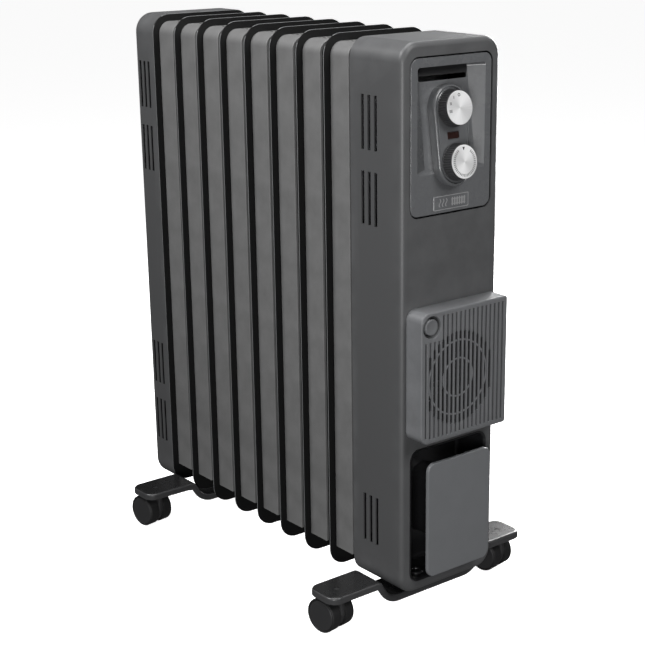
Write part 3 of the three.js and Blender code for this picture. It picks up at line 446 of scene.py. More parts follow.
def spun_metal(name, colour):
    """A turned disc: fine rings round the object's own axis, and a conic highlight painted into the colour at
    fixed angles.
    """
    shop = Shop(name)
    place = shop.place()
    y, z = shop.across(place)
    radius = shop.math("SQRT", y * y + z * z)
    angle = shop.math("ARCTAN2", y, z)
    rings = shop.math("SINE", radius * 21000.0)
    scratch = shop.streaks(radius * 9000.0, Detail=3.0)
    # Light and dark lobes at fixed angles round the axis, with radial streaks mixed in, are a painted
    # highlight standing in for spun metal's bright cone.
    painted_conic_highlight = shop.band(shop.math("SINE", angle * 2.0 + 0.6), -1.0, 1.0)
    fan_lines = shop.streaks(angle * 9.0)
    tint = shop.mix(painted_conic_highlight * 0.75 + fan_lines * 0.25, shade(colour, 0.66), shade(colour, 1.16))
    tint = shop.mix(scratch * 0.2, tint, shade(colour, 0.7))
    normal = shop.bump(rings * 0.4 + scratch, 0.00002, 0.5)
    shop.set(Base_Color=tint, Roughness=scratch * 0.14 + 0.3, Metallic=0.1, Normal=normal)
    return shop.material


def bare_metal(name, colour, roughness, brush=0.00001):
    """Plated or drawn metal with streaks along its length and dull patches."""
    shop = Shop(name)
    place = shop.place()
    stretch = shop.node("ShaderNodeMapping", {}, {"Vector": place, "Scale": (40.0, 1400.0, 1400.0)})
    streak = shop.noise(1.0, 3.0, 0.6, stretch)
    patch = shop.noise(60.0, 3.0, 0.6, place)
    tint = shop.mix(patch, shade(colour, 0.8), shade(colour, 1.1))
    tint = shop.mix(streak * 0.3, tint, shade(colour, 0.7))
    shop.set(Base_Color=tint, Roughness=roughness - 0.06 + patch * 0.16, Metallic=1.0,
             Normal=shop.bump(streak, brush))
    return shop.material


def signal_lens(name, colour):
    """Dark tinted lens with moulded ribs inside."""
    shop = Shop(name)
    place = shop.place()
    ribs = shop.band(shop.math("SINE", shop.across(place)[0] * 7000.0), -1.0, 1.0)
    tint = shop.mix(ribs, shade(colour, 0.6), shade(colour, 1.5))
    tint = shop.mix(shop.noise(300.0, 2.0, 0.5, place) * 0.4, tint, shade(colour, 0.5))
    shop.set(Base_Color=tint, Roughness=shop.noise(90.0, 2.0, 0.5, place) * 0.1 + 0.12,
             Normal=shop.bump(ribs, 0.00004), Coat_Weight=0.6, Coat_Roughness=0.08)
    return shop.material


def floor_finish(name, colour, glow):
    """Pale seamless paper for the floor."""
    shop = Shop(name)
    fibre = shop.noise(3.0, 2.0, 0.5)
    tint = shop.mix(fibre, shade(colour, 0.985), shade(colour, 1.0))
    shop.set(Base_Color=tint, Roughness=0.9, Emission_Color=shade(colour, 1.0), Emission_Strength=glow)
    return shop.material


FINISHES = {}


def finish(key):
    """The material for a finish, made the first time it is asked for."""
    if key not in FINISHES:
        looks = bpy.context.scene.radiator_colours
        recipes = {
            "casing": lambda: coated("casing_powder_coat", looks.casing, 0.46, coat=0.12,
                                     coat_roughness=0.35),
            # The inside finish is the fin colour darkened to near black: painted shade seen through the
            # casing slots.
            "inside_shade": lambda: coated("inner_primer", shade(looks.fin, 0.8), 0.7, cloud=0.1, specular=0.2),
            "fin": lambda: coated("fin_powder_coat", looks.fin, 0.55, cloud=0.08, specular=0.28),
            # The fin rim finish is the fin colour made much lighter: a highlight painted along the fin edges.
            "fin_rim_highlight": lambda: coated("fin_rim_paint", shade(looks.fin, 30.0), 0.4, cloud=0.08, wear=0.3),
            "wrap": lambda: coated("wrap_powder_coat", looks.wrap, 0.46, coat=0.1, coat_roughness=0.35),
            "panel": lambda: coated("panel_gloss_plastic", looks.panel, 0.26, 3000.0, 0.000002, 0.012, 0.3,
                                    coat=0.35, coat_roughness=0.1),
            "pod": lambda: coated("pod_gloss_plastic", looks.panel, 0.22, 3000.0, 0.000004, 0.03, 0.5,
                                  coat=0.4, coat_roughness=0.1),
            "fan": lambda: coated("fan_cover_plastic", looks.fan, 0.4, 3200.0, 0.000014, 0.04, 0.5,
                                  coat=0.15, coat_roughness=0.3),
            # The groove finish is the cover plastic darkened: painted shade deep in the grooves and the
            # button well.
            "fan_groove_shade": lambda: coated("fan_groove_plastic", shade(looks.fan, 0.22), 0.6, 3200.0, 0.00001,
                                        0.08, 0.0),
            "cleat": lambda: coated("cleat_plastic", looks.cleat, 0.3, 3000.0, 0.000006, 0.03, 0.4,
                                    coat=0.2, coat_roughness=0.2),
            "tray": lambda: coated("tray_plastic", looks.tray, 0.33, 2600.0, 0.000006, 0.08, 0.3, coat=0.25,
                                   coat_roughness=0.2),
            "foot": lambda: coated("foot_gloss_paint", looks.foot, 0.26, 1800.0, 0.0000005, 0.06, 0.3,
                                   coat=0.3, coat_roughness=0.12),
            # The foot rim finish is the foot paint made three times lighter: a painted highlight on the rims.
            "foot_rim_highlight": lambda: coated("foot_rim_paint", shade(looks.foot, 3.0), 0.34, 1800.0, 0.000001,
                                       0.06, 0.5, coat=0.2, coat_roughness=0.2),
            "castor": lambda: coated("castor_nylon", looks.castor, 0.45, 2600.0, 0.000012, 0.08, 0.6),
            "tread": lambda: coated("castor_tread", shade(looks.castor, 0.4), 0.6, 1800.0, 0.00003, 0.1, 0.4),
            "knob": lambda: coated("knob_black_plastic", looks.knob, 0.36, 2600.0, 0.00001, 0.05, 0.6),
            # Black plastic of the inner parts; on the panel's deep faces it is painted shade in the groove
            # round the rim.
            "dark": lambda: coated("inner_black_plastic", looks.tray, 0.55, 2400.0, 0.00002, 0.1, 0.3),
            "ink": lambda: coated("printed_marks", (0.012, 0.012, 0.013, 1.0), 0.5, 4000.0, 0.000002,
                                  0.1, 0.0),
            "spun": lambda: spun_metal("spun_aluminium", looks.knob_face),
            "trim": lambda: coated("badge_silver_ink", (0.33, 0.33, 0.335, 1.0), 0.42, 4000.0, 0.000002,
                                   0.06, 0.2, metallic=0.25),
            "steel": lambda: bare_metal("zinc_plated_steel", (0.52, 0.53, 0.54, 1.0), 0.38),
            "sheath": lambda: bare_metal("heater_sheath", (0.42, 0.3, 0.22, 1.0), 0.45),
            "mica": lambda: coated("heater_board", (0.03, 0.024, 0.016, 1.0), 0.7, 900.0, 0.00004,
                                   0.15, 0.3),
            "lens": lambda: signal_lens("signal_lens_red", looks.lens),
            "floor": lambda: floor_finish("studio_floor", looks.floor, looks.floor_glow),
        }
        FINISHES[key] = recipes[key]()
    return FINISHES[key]


# ------------------------------------------------------------------ settings
def colour_setting(name, description, default):
    return bpy.props.FloatVectorProperty(name=name, description=description, default=default, size=4,
                                         min=0.0, max=1.0, subtype="COLOR")


def length_setting(name, description, millimetres):
    return bpy.props.FloatProperty(name=name, description=description, default=millimetres * MM,
                                   min=0.0, subtype="DISTANCE", unit="LENGTH")


class RadiatorColours(bpy.types.PropertyGroup):
    casing: colour_setting("Casing", "Paint of the end cover and the housing", (0.078, 0.079, 0.081, 1))
    fin: colour_setting("Fins", "Paint of the oil fins and headers", (0.0045, 0.0046, 0.0047, 1))
    wrap: colour_setting("Wraps", "Paint of the strips between the fins", (0.142, 0.142, 0.142, 1))
    panel: colour_setting("Panel", "Plastic of the control panel", (0.121, 0.124, 0.129, 1))
    fan: colour_setting("Fan cover", "Plastic of the fan cover and its button", (0.142, 0.145, 0.151, 1))
    cleat: colour_setting("Cleat", "Plastic of the cord cleat", (0.158, 0.163, 0.17, 1))
    tray: colour_setting("Tray", "Plastic of the cord tray and inner parts", (0.012, 0.012, 0.013, 1))
    foot: colour_setting("Feet", "Gloss paint of the foot bars", (0.016, 0.016, 0.0165, 1))
    castor: colour_setting("Castors", "Nylon of the castors", (0.03, 0.03, 0.031, 1))
    knob: colour_setting("Knobs", "Plastic of the knob skirts", (0.04, 0.04, 0.042, 1))
    knob_face: colour_setting("Knob faces", "Turned metal of the knob faces", (0.86, 0.86, 0.865, 1))
    lens: colour_setting("Lens", "Tint of the signal lens", (0.03, 0.014, 0.012, 1))
    floor: colour_setting("Floor", "Paper of the studio floor", (0.94, 0.94, 0.94, 1))
    floor_glow: bpy.props.FloatProperty(name="Floor glow", description="Light added to the pale floor",
                                        default=1.0, min=0.0, max=2.0)


class RadiatorSizes(bpy.types.PropertyGroup):
    vent_hole: length_setting("Vent hole", "Radius of the holes in the wrap tops", 1.95)
    vent_pitch: length_setting("Vent pitch", "Distance between the holes in the wrap tops", 5.3)
    strip_round: length_setting("Strip rounding", "Radius along the long edges of a wrap strip", 0.9)
    panel_round: length_setting("Panel rounding", "Radius round the control panel's rim", 0.8)
    rib_round: length_setting("Rib rounding", "Radius along the ribs of the fan cover", 0.35)
    foot_hole: length_setting("Foot hole", "Radius of the hole over each castor stem", 3.2)
    flutes: bpy.props.IntProperty(name="Knob flutes", description="Grooves round each knob",
                                  default=KNOB["flutes"], min=12, max=120)


def sizes():
    return bpy.context.scene.radiator_sizes


class PieceOperator(bpy.types.Operator):
    """Base of the operators that build pieces."""

    bl_options = {"REGISTER"}

    def execute(self, context):
        self.build()
        return {"FINISHED"}


# ------------------------------------------------------------------ casing
def case_sections(node, x_open, x_closed, corner, fillet, arc=6):
    """Sections of a casing that is open at x_open and has a round rim at x_closed."""
    low, high = span(node)
    width, height = high.y - low.y, high.z - low.z
    mid = (low.z + high.z) / 2
    toward = 1 if x_closed > x_open else -1
    outline = insets(width, height, corner, 0, mid)
    rim = [(outline(inset), x_closed - toward * depth) for inset, depth in quarter(fillet, arc)]
    return [(outline(0), x_open)] + rim


def slot_tops(low_count):
    """Tops of the upper pair of slot groups and of the lower groups, counted from the floor."""
    low, high = span("fin_1")
    first = high.z - SLOT["from_top"]
    tops = [first, first - SLOT["height"] - SLOT["gap"]]
    lowest = low.z + SLOT["from_bottom"] + SLOT["height"]
    return tops + [lowest + i * (SLOT["height"] + SLOT["gap"]) for i in range(low_count)]


def slot_cutter(centre, pitch, tops, reach):
    cutter = Shape()
    half = SLOT["width"] / 2
    for top in tops:
        for i in (-1, 0, 1):
            x = centre + i * pitch
            for side in (-1, 1):
                inner, outer = sorted((side * (reach - 8), side * (reach + 3)))
                cutter.box((x - half, inner, top - SLOT["height"]), (x + half, outer, top))
    return cutter


class RADIATOR_OT_rear_cover(PieceOperator):
    """Builds the rear end cover with its slots."""

    bl_idname = "radiator.rear_cover"
    bl_label = "Rear cover"

    def build(self):
        low, high = span("rear_cover")
        shape = Shape()
        shape.loft(case_sections("rear_cover", high.x, low.x, COVER["corner"], COVER["fillet"]), start=False)
        cutter = slot_cutter((low.x + high.x) / 2, COVER["slot_pitch"], slot_tops(2), high.y)
        # Faces the wall grows inwards take the near-black inside finish: painted shade behind the slots.
        mesh = worked(shape.mesh("rear_cover_shell"), COVER["sheet"], cutter, 1)
        show("rear_cover_shell", mesh, (finish("casing"), finish("inside_shade")),
             stands_for=["rear_cover"])


class RADIATOR_OT_housing(PieceOperator):
    """Builds the control housing with its slots and the openings in its front."""

    bl_idname = "radiator.housing"
    bl_label = "Control housing"

    def build(self):
        low, high = HOUSE_LOW, HOUSE_HIGH
        shape = Shape()
        sections = case_sections("control_housing", low.x, high.x, HOUSING["corner"], HOUSING["fillet"])
        rings = shape.loft(sections, start=False, end=False)
        openings = [
            insets(PANEL["width"], PANEL["height"], PANEL["corner"], 0, PANEL_MID)(-PANEL["groove"]),
            circle(47.0, FAN["centre_y"], OUTLET_Z),
            rounded(TRAY["width"], TRAY["height"], TRAY["corner"], 0, TRAY_MID),
        ]
        shape.fill([rings[-1]] + [shape.ring(points, FRONT) for points in openings])
        centre = low.x + (high.x - low.x) * HOUSING["slot_share"]
        cutter = slot_cutter(centre, HOUSING["slot_pitch"], slot_tops(1), high.y)
        # Faces the wall grows inwards take the near-black inside finish: painted shade behind the slots.
        mesh = worked(shape.mesh("housing_shell"), HOUSING["sheet"], cutter, 1)
        show("housing_shell", mesh, (finish("casing"), finish("inside_shade")),
             stands_for=["control_housing"])
        keep("housing_backplate", finish("steel"))


# ------------------------------------------------------------------ oil body
class RADIATOR_OT_fins(PieceOperator):
    """Builds the pressed fins with their oil chambers."""

    bl_idname = "radiator.fins"
    bl_label = "Fins"

    def build(self):
        low, high = span("fin_1")
        width, height, mid = high.y - low.y, high.z - low.z, (low.z + high.z) / 2
        sheet = FIN["sheet"]
        shape = Shape()
        shape.plate(insets(width, height, FIN["corner"], 0, mid), 0.0, sheet, sheet / 2, arc=4)
        wide, tall = FIN["chamber"]
        top = sheet + FIN["chamber_depth"]
        chamber = insets(wide, tall, FIN["chamber_corner"], 0, mid)
        profile = ((-2, sheet - 0.4), (-1, sheet + 0.4), (0, sheet + 1.6), (0, top - 3.0), (0.9, top - 0.9),
                   (3, top))
        shape.loft([(chamber(inset), x) for inset, x in profile])
        for i in (-1, 0, 1):
            rib = insets(14, 380, 7, i * wide / 3, mid)
            shape.loft([(rib(inset), top + rise) for inset, rise in ((0, -0.4), (1.5, 1.4), (4, 2.3))])
        # Faces round the fin's rim take the second, lighter finish: a painted highlight along the edges.
        shape.bm.normal_update()
        for face in shape.bm.faces:
            centre = face.calc_center_median() / MM
            edge = abs(centre.y) > width / 2 - 3 or abs(centre.z - mid) > height / 2 - 3
            if edge and abs(face.normal.x) < 0.97:
                face.material_index = 1
        mesh = shape.mesh("fin_pressing")
        for i in range(FIN_COUNT):
            node = f"fin_{i + 1}"
            at = Matrix.Translation((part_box(node)[0].x, 0, 0))
            show(f"fin_pressing_{i + 1}", mesh, (finish("fin"), finish("fin_rim_highlight")),
                 stands_for=[node], at=at)


def wrap_path(half, top, foot, corner):
    """The outline of a wrap from its left foot over the top to its right foot, as (y, z) points."""
    points = [(-half, foot)]
    for i in range(STEPS + 1):
        angle = math.pi - i / STEPS * math.pi / 2
        points.append((-half + corner + corner * math.cos(angle), top - corner + corner * math.sin(angle)))
    for i in range(STEPS + 1):
        angle = math.pi / 2 - i / STEPS * math.pi / 2
        points.append((half - corner + corner * math.cos(angle), top - corner + corner * math.sin(angle)))
    points.append((half, foot))
    return points


class RADIATOR_OT_wraps(PieceOperator):
    """Builds the strips that wrap each fin gap, with perforated tops."""

    bl_idname = "radiator.wraps"
    bl_label = "Wrap strips"

    def build(self):
        low, high = span("wrap_1")
        width = high.x - low.x
        roll = sizes().strip_round / MM
        shape = Shape()
        edge = quarter(roll, 4)
        sections = edge + [(width - x, inset) for x, inset in reversed(edge)]
        sections = [(0.0, WRAP["roll"] + roll)] + sections + [(width, WRAP["roll"] + roll)]
        rings = []
        for x, inset in sections:
            path = wrap_path(high.y - inset, high.z - inset, low.z, WRAP["corner"] - inset)
            rings.append(shape.ring(path, x))
        flat = len(rings[0]) // 2 - 1
        lid = rings.index(rings[len(edge)])
        for number, (first, second) in enumerate(zip(rings, rings[1:])):
            for i in range(len(first) - 1):
                if not (number == lid and i == flat):
                    shape.bm.faces.new((first[i], first[i + 1], second[i + 1], second[i]))
        first, second = rings[lid], rings[lid + 1]
        lid_loop = [first[flat], first[flat + 1], second[flat + 1], second[flat]]
        level = first[flat].co.z
        pitch, radius = sizes().vent_pitch / MM, sizes().vent_hole / MM
        rows = int((width - 2 * roll - 2) // (pitch * 0.87))
        columns = int((2 * (high.y - WRAP["corner"]) - 3) // pitch)
        holes = []
        for row in range(rows):
            for column in range(columns - row % 2):
                y = (column - (columns - 1) / 2 + (row % 2) / 2) * pitch
                x = width / 2 + (row - (rows - 1) / 2) * pitch * 0.87
                hole = circle(radius, x, y, 8)
                holes.append([shape.bm.verts.new((u * MM, v * MM, level)) for u, v in hole])
        shape.fill([lid_loop] + holes)
        mesh = worked(shape.mesh("wrap_strip"), WRAP["sheet"])
        for i in range(FIN_COUNT):
            node = f"wrap_{i + 1}"
            at = Matrix.Translation((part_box(node)[0].x, 0, 0))
            show(f"wrap_strip_{i + 1}", mesh, finish("wrap"), stands_for=[node], at=at)


class RADIATOR_OT_headers(PieceOperator):
    """Builds the two header tubes with a pressed collar at every fin."""

    bl_idname = "radiator.headers"
    bl_label = "Header tubes"

    def build(self):
        fins = [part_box(f"fin_{i + 1}")[0].x / MM for i in range(FIN_COUNT)]
        for node in ("top_header", "bottom_header"):
            low, high = span(node)
            z = (low.z + high.z) / 2
            r = HEADER["radius"]
            shape = Shape()
            shape.turn(((r - 3, low.x), (r - 1, low.x + 0.6), (r, low.x + 2.5), (r, high.x - 2.5),
                        (r - 1, high.x - 0.6), (r - 3, high.x)), 0, z)
            collar = HEADER["collar"]
            for x in fins:
                shape.turn(((collar + 3, -0.5), (collar, -2.2), (r + 1.2, -3.6), (r - 0.5, -4.2)), 0, z, x)
            show(f"{node}_tube", shape.mesh(node), finish("fin"), stands_for=[node])
        keep("heating_element", finish("sheath"))


# ------------------------------------------------------------------ controls
class RADIATOR_OT_panel(PieceOperator):
    """Builds the control panel with its sloping well."""

    bl_idname = "radiator.panel"
    bl_label = "Control panel"

    def build(self):
        face = FRONT - 0.3
        r = sizes().panel_round / MM
        shape = Shape()
        outline = insets(PANEL["width"], PANEL["height"], PANEL["corner"], 0, PANEL_MID)
        sections = [(outline(inset), face - 5.0) for inset in (-PANEL["lip"], 0.0)]
        sections += [(outline(inset), face - depth) for inset, depth in quarter(r, 3)]
        rim = shape.loft(sections, start=False, end=False)[-1]
        wide, tall = PANEL["window"]
        window_mid = (WINDOW_TOP + WINDOW_FOOT) / 2
        mouth = shape.ring(rounded(wide, tall, 3.0, 0, window_mid, 5), face)
        shape.fill([rim, mouth])
        low, high = WINDOW_FOOT + 0.3 * PANEL["bank"], WINDOW_TOP - 1.5
        floor = shape.ring(rounded(wide - 2 * PANEL["bank"], high - low, 3.0, 0, (low + high) / 2, 5),
                           lambda u, v: floor_x(v))
        shape.bridge(mouth, floor)
        vent_w, vent_h = PANEL["vent"]
        vent_z = WINDOW_TOP - PANEL["vent_drop"] + vent_h / 2
        vent = shape.ring(rounded(vent_w, vent_h, 1.2, 0, vent_z, 3), lambda u, v: floor_x(v))
        shape.fill([floor, vent])
        # Faces more than 4.9 mm behind the face take the black second finish: painted shade in the groove
        # round the panel.
        for made in shape.bm.faces:
            if all(v.co.x < (face - 4.9) * MM for v in made.verts):
                made.material_index = 1
        creases = []
        for loop in (mouth, floor):
            creases += [shape.bm.edges.get((a, b)) for a, b in zip(loop, loop[1:] + loop[:1])]
        shape.soften([e for e in creases if e], 0.7, 3)
        mesh = worked(shape.mesh("panel_face"), 1.4)
        show("panel_face", mesh, (finish("panel"), finish("dark")),
             stands_for=["control_panel"], sharp=40)


class RADIATOR_OT_pod(PieceOperator):
    """Builds the raised pod that carries the knobs, and its signal lens."""

    bl_idname = "radiator.pod"
    bl_label = "Knob pod and lens"

    PROFILE = ((0, 0.3), (0, 6.2), (0.15, 7.4), (0.6, 8.5), (1.3, 9.2), (2.1, 9.4), (2.7, 9.2), (3.1, 8.5),
               (3.3, 7.9), (3.7, 7.7), (4.1, 8.0), (4.4, 8.7), (5.0, 9.0), (5.6, 8.8), (5.9, 8.3))

    def build(self):
        shape = Shape()
        outline = insets(POD["width"], POD["height"], POD["width"] / 2, steps=16)
        shape.loft([(outline(inset), rise) for inset, rise in self.PROFILE])
        show("pod_body", shape.mesh("pod_body"), finish("pod"), stands_for=["knob_pod"],
             at=WELL)
        lens = Shape()
        w, h, face = LENS["width"], LENS["height"], POD["face"]
        profile = ((0, 1.0, face - 4), (0, 1.0, face), (-0.4, 0.8, face + 0.3), (-1.2, 0.5, face + 0.4))
        lens.loft([(rounded(w + grow, h + grow, corner, steps=4), z) for grow, corner, z in profile])
        show("signal_lens", lens.mesh("signal_lens"), finish("lens"),
             stands_for=["indicator_lens"], at=WELL)
        bezel = Shape()
        profile = ((0.3, 1.1, -0.4), (0.3, 1.1, 0.25), (1.0, 1.4, 0.35), (1.6, 1.7, 0.1), (1.6, 1.7, -0.4))
        bezel.tube([(rounded(w + grow, h + grow, corner, steps=4), face + z) for grow, corner, z in profile])
        show("lens_bezel", bezel.mesh("lens_bezel"), finish("knob"), at=WELL)


def fluted(radius, flutes, depth, per=6):
    """A circle with shallow round flutes."""
    count = flutes * per
    points = []
    for i in range(count):
        angle = i / count * 2 * math.pi
        r = radius - depth * (0.5 - 0.5 * math.cos(angle * flutes))
        points.append((r * math.cos(angle), r * math.sin(angle)))
    return points


def bar(shape, u, v, along, across, angle, low, high):
    """A thin printed bar centred on (u, v), its long side along the direction angle."""
    c, s = math.cos(angle), math.sin(angle)
    corners = [(-along, -across), (along, -across), (along, across), (-along, across)]
    shape.slab([(u + a * c - b * s, v + a * s + b * c) for a, b in corners], low, high)


class RADIATOR_OT_knobs(PieceOperator):
    """Builds the two fluted knobs with turned metal faces and printed marks."""

    bl_idname = "radiator.knobs"
    bl_label = "Knobs"

    def skirt(self):
        flutes, depth, radius = sizes().flutes, KNOB["depth"], KNOB["radius"]
        base, top = KNOB["base"], KNOB["top"]
        shape = Shape()
        face = KNOB["face"]
        profile = ((radius - 1.0, 0.0, base), (radius + 0.2, 0.0, base + 0.9),
                   (radius + 1.3, 0.0, base + 1.5), (radius + 1.3, depth, base + 1.9),
                   (radius, depth, top - 1.5), (radius - 0.1, 0.0, top - 1.1),
                   (radius - 0.2, 0.0, top - 0.4), (radius - 0.4, 0.0, top - 0.1),
                   (face + 0.15, 0.0, top - 0.1), (face + 0.1, 0.0, top - 0.8))
        shape.loft([(fluted(r, flutes, cut), z) for r, cut, z in profile])
        return shape.mesh("knob_skirt")

    def face(self):
        r, top = KNOB["face"], KNOB["top"]
        shape = Shape()
        shape.turn(((r, -1.0), (r, 0.1), (r - 0.25, 0.38), (r - 0.7, 0.45), (r - 5, 0.42), (1.0, 0.4)),
                   base=top, sides=96)
        return shape.mesh("knob_face")

    def selector_marks(self):
        shape = Shape()
        low, high = KNOB["top"] + 0.3, KNOB["top"] + 0.5
        r = 12.4
        for count in (1, 2, 3):
            angle = math.pi / 2 + math.radians(34) * count
            for i in range(count):
                shift = (i - (count - 1) / 2) * 1.3
                bar(shape, r * math.cos(angle) + shift, r * math.sin(angle), 1.4, 0.3, math.pi / 2, low, high)
        profile = ((1.6, low), (1.6, high), (0.95, high), (0.95, low))
        shape.tube([(circle(radius, 0, r, 32), z) for radius, z in profile])
        return shape.mesh("selector_marks")

    def thermostat_marks(self):
        shape = Shape()
        low, high = KNOB["top"] + 0.3, KNOB["top"] + 0.5
        ticks = 36
        for i in range(ticks):
            angle = math.pi / 2 - math.radians(42 + 285 * i / (ticks - 1))
            bar(shape, 13.2 * math.cos(angle), 13.2 * math.sin(angle), 1.35, 0.32, angle, low, high)
        shape.slab([(-1.5, 14.4), (0.0, 11.0), (1.5, 14.4)], low, high)
        return shape.mesh("thermostat_marks")

    def build(self):
        skirt, face = self.skirt(), self.face()
        for name, side, marks in (("selector", 1, self.selector_marks()),
                                  ("thermostat", -1, self.thermostat_marks())):
            at = WELL @ Matrix.Translation((0, 0, side * KNOB["spacing"] / 2 * MM))
            body = f"{name}_knob"
            show(f"{name}_knob_skirt", skirt, finish("knob"), body, [body], at)
            show(f"{name}_knob_face", face, finish("spun"), body, at=at)
            show(f"{name}_knob_marks", marks, finish("ink"), body, at=at, weighted=False)


class RADIATOR_OT_badge(PieceOperator):
    """Builds the blank badge with a plain border and a plain sign for heat."""

    bl_idname = "radiator.badge"
    bl_label = "Badge"

    def build(self):
        low, high = span("badge")
        mid = (low.z + high.z) / 2
        w, h = BADGE["width"], BADGE["height"]
        top = high.x
        plate = Shape()
        outline = insets(w, h, 1.2, 0, mid, 4)
        profile = ((0, low.x), (0, top - 0.25), (0.2, top - 0.05), (0.5, top - 0.05))
        plate.loft([(outline(inset), x) for inset, x in profile])
        show("badge_plate", plate.mesh("badge_plate"), finish("panel"), stands_for=["badge"])
        trim = Shape()
        profile = ((0.8, top - 0.2), (0.8, top), (2.4, top), (2.4, top - 0.2))
        trim.tube([(rounded(w - d, h - d, 1.0, 0, mid, 4), x) for d, x in profile])
        for i in range(3):
            centre = -15.0 + i * 4.2
            left, right = [], []
            for j in range(17):
                v = mid - 4.0 + j * 0.5
                u = centre + 1.0 * math.sin((v - mid) * math.pi / 4)
                left.append((u - 0.6, v))
                right.append((u + 0.6, v))
            trim.slab(left + right[::-1], top - 0.2, top)
        for i in range(6):
            trim.slab(rounded(2.0, 8.4, 1.0, 1.5 + i * 3.2, mid, 4), top - 0.2, top)
        for v in (mid - 2.4, mid + 2.4):
            trim.slab(rounded(19.0, 0.8, 0.3, 9.5, v, 2), top - 0.2, top - 0.01)
        show("badge_trim", trim.mesh("badge_trim"), finish("trim"), weighted=False)


# ------------------------------------------------------------------ fan heater
class RADIATOR_OT_fan_cover(PieceOperator):
    """Builds the fan cover with its ribs, round outlet and button rim."""

    bl_idname = "radiator.fan_cover"
    bl_label = "Fan cover"

    def groove(self, y, foot, top, chord, inset):
        """Points round a narrow groove that widens where it crosses the round outlet."""
        thin, wide = FAN["groove"] / 2 - inset, FAN["slot"] / 2 - inset
        right = [(thin, foot)]
        if chord:
            low, high = max(OUTLET_Z - chord, foot + 0.5), min(OUTLET_Z + chord, top - 0.5)
            right += [(thin, low - 0.2), (wide, low + 0.2), (wide, high - 0.2), (thin, high + 0.2)]
        right.append((thin, top))
        return [(y + u, v) for u, v in right] + [(y - u, v) for u, v in reversed(right)]

    def layer(self, outline, holes, low, high, bevel):
        """A flat layer with holes; every rim is rounded on its front side."""
        shape = Shape()
        full = [outline(0)] + [hole(0) for hole in holes]
        back = [shape.ring(points, low) for points in full]
        shoulder = [shape.ring(points, high - bevel) for points in full]
        front = [shape.ring(points, high) for points in [outline(bevel)] + [hole(-bevel) for hole in holes]]
        for a, b, c in zip(back, shoulder, front):
            shape.bridge(a, b)
            shape.bridge(b, c)
        shape.fill(back)
        shape.fill(front)
        return shape

    def build(self):
        low, high = span("fan_grille")
        width, height, mid = high.y - low.y, high.z - low.z, FAN_MID.z
        shape = Shape()
        fillet, wall, level = FAN["fillet"], FAN["wall"], FAN["layer"]
        outline = insets(width, height, FAN["corner"], 0, mid, high=FAN["sharp"])
        sections = [(outline(wall), low.x), (outline(0), low.x)]
        sections += [(outline(inset), high.x - depth) for inset, depth in quarter(fillet, 4)]
        shape.tube(sections + [(outline(fillet + 0.2), high.x - 1.5), (outline(wall + 0.8), high.x - 3)])
        r = sizes().rib_round / MM
        button = (FAN["button_y"], BUTTON_Z)
        field_width, field_height = FAN["field"]
        bend = FAN["field_corner"]
        grooves, outlets = [], []
        for i in range(FAN["slots"]):
            y = (i - (FAN["slots"] - 1) / 2) * FAN["pitch"]
            into = max(0.0, bend - (field_width / 2 + y))
            shorter = bend - math.sqrt(bend * bend - into * into)
            blocked = y < FAN["button_y"] + FAN["rim"] + 4
            top = mid + (FAN["button_rise"] - FAN["rim"] - 4 if blocked else field_height / 2)
            foot = mid - field_height / 2 + shorter
            offset = abs(y - FAN["centre_y"]) + FAN["slot"] / 2
            chord = 0.0
            if offset < FAN["radius"] - 4:
                chord = math.sqrt(FAN["radius"] ** 2 - offset ** 2)
                outlets.append(lambda d, y=y, c=chord: rounded(
                    FAN["slot"] - 0.1 - 2 * d, 2 * c - 2 * d, 0.5, y, OUTLET_Z, 2))
            grooves.append(lambda d, y=y, top=top, foot=foot, c=chord:
                           self.groove(y, foot + d, top - d, c, d))
        rim = FAN["rim"]
        dish = lambda d: circle(rim + 1.2 - d, *button, 48)
        inset = fillet - 0.05
        floor = high.x - level
        front = self.layer(lambda d: outline(inset + d), grooves + [dish], floor, high.x, r)
        behind = self.layer(lambda d: outline(inset), outlets + [dish], floor - 1.7, floor - 0.02, 0.1)
        # The layer behind the ribs takes the dark second finish: painted shade on the groove floors.
        for face in behind.bm.faces:
            face.material_index = 1
        shape.merge(front)
        shape.merge(behind)
        for radius in FAN["rings"]:
            half = FAN["ring_width"] / 2
            profile = ((-half, -0.9), (-half, -0.15), (-half + 0.3, 0.0),
                       (half - 0.3, 0.0), (half, -0.15), (half, -0.9))
            hoop = Shape()
            hoop.tube([(circle(radius + dr, FAN["centre_y"], OUTLET_Z, 96), floor + dx + 0.25)
                       for dr, dx in profile])
            shape.merge(hoop)
        hole = FAN["button"] + 0.8
        profile = ((rim + 1.7, -1.2), (rim + 1.7, -0.25), (rim + 1.4, -0.05), (rim + 0.9, 0.0),
                   (rim + 0.3, -0.1), (rim, -0.5), (rim - 0.3, -2.2), (rim - 0.8, -2.8),
                   (hole + 0.4, -3.0), (hole, -3.4), (hole, -6.0))
        well = Shape()
        well.turn(profile, *button, high.x, 64, start=False, end=False)
        # The deep faces of the button well take the dark second finish: painted shade round the button.
        for face in well.bm.faces:
            if face.calc_center_median().x < (high.x - 1.6) * MM:
                face.material_index = 1
        shape.merge(well)
        show("fan_cover", shape.mesh("fan_cover"), (finish("fan"), finish("fan_groove_shade")),
             stands_for=["fan_grille"], sharp=45)
        for node in ("fan_duct", "fan_rotor", "fan_switch", "fan_motor"):
            keep(node, finish("dark"))
        keep("fan_heater", finish("mica"))


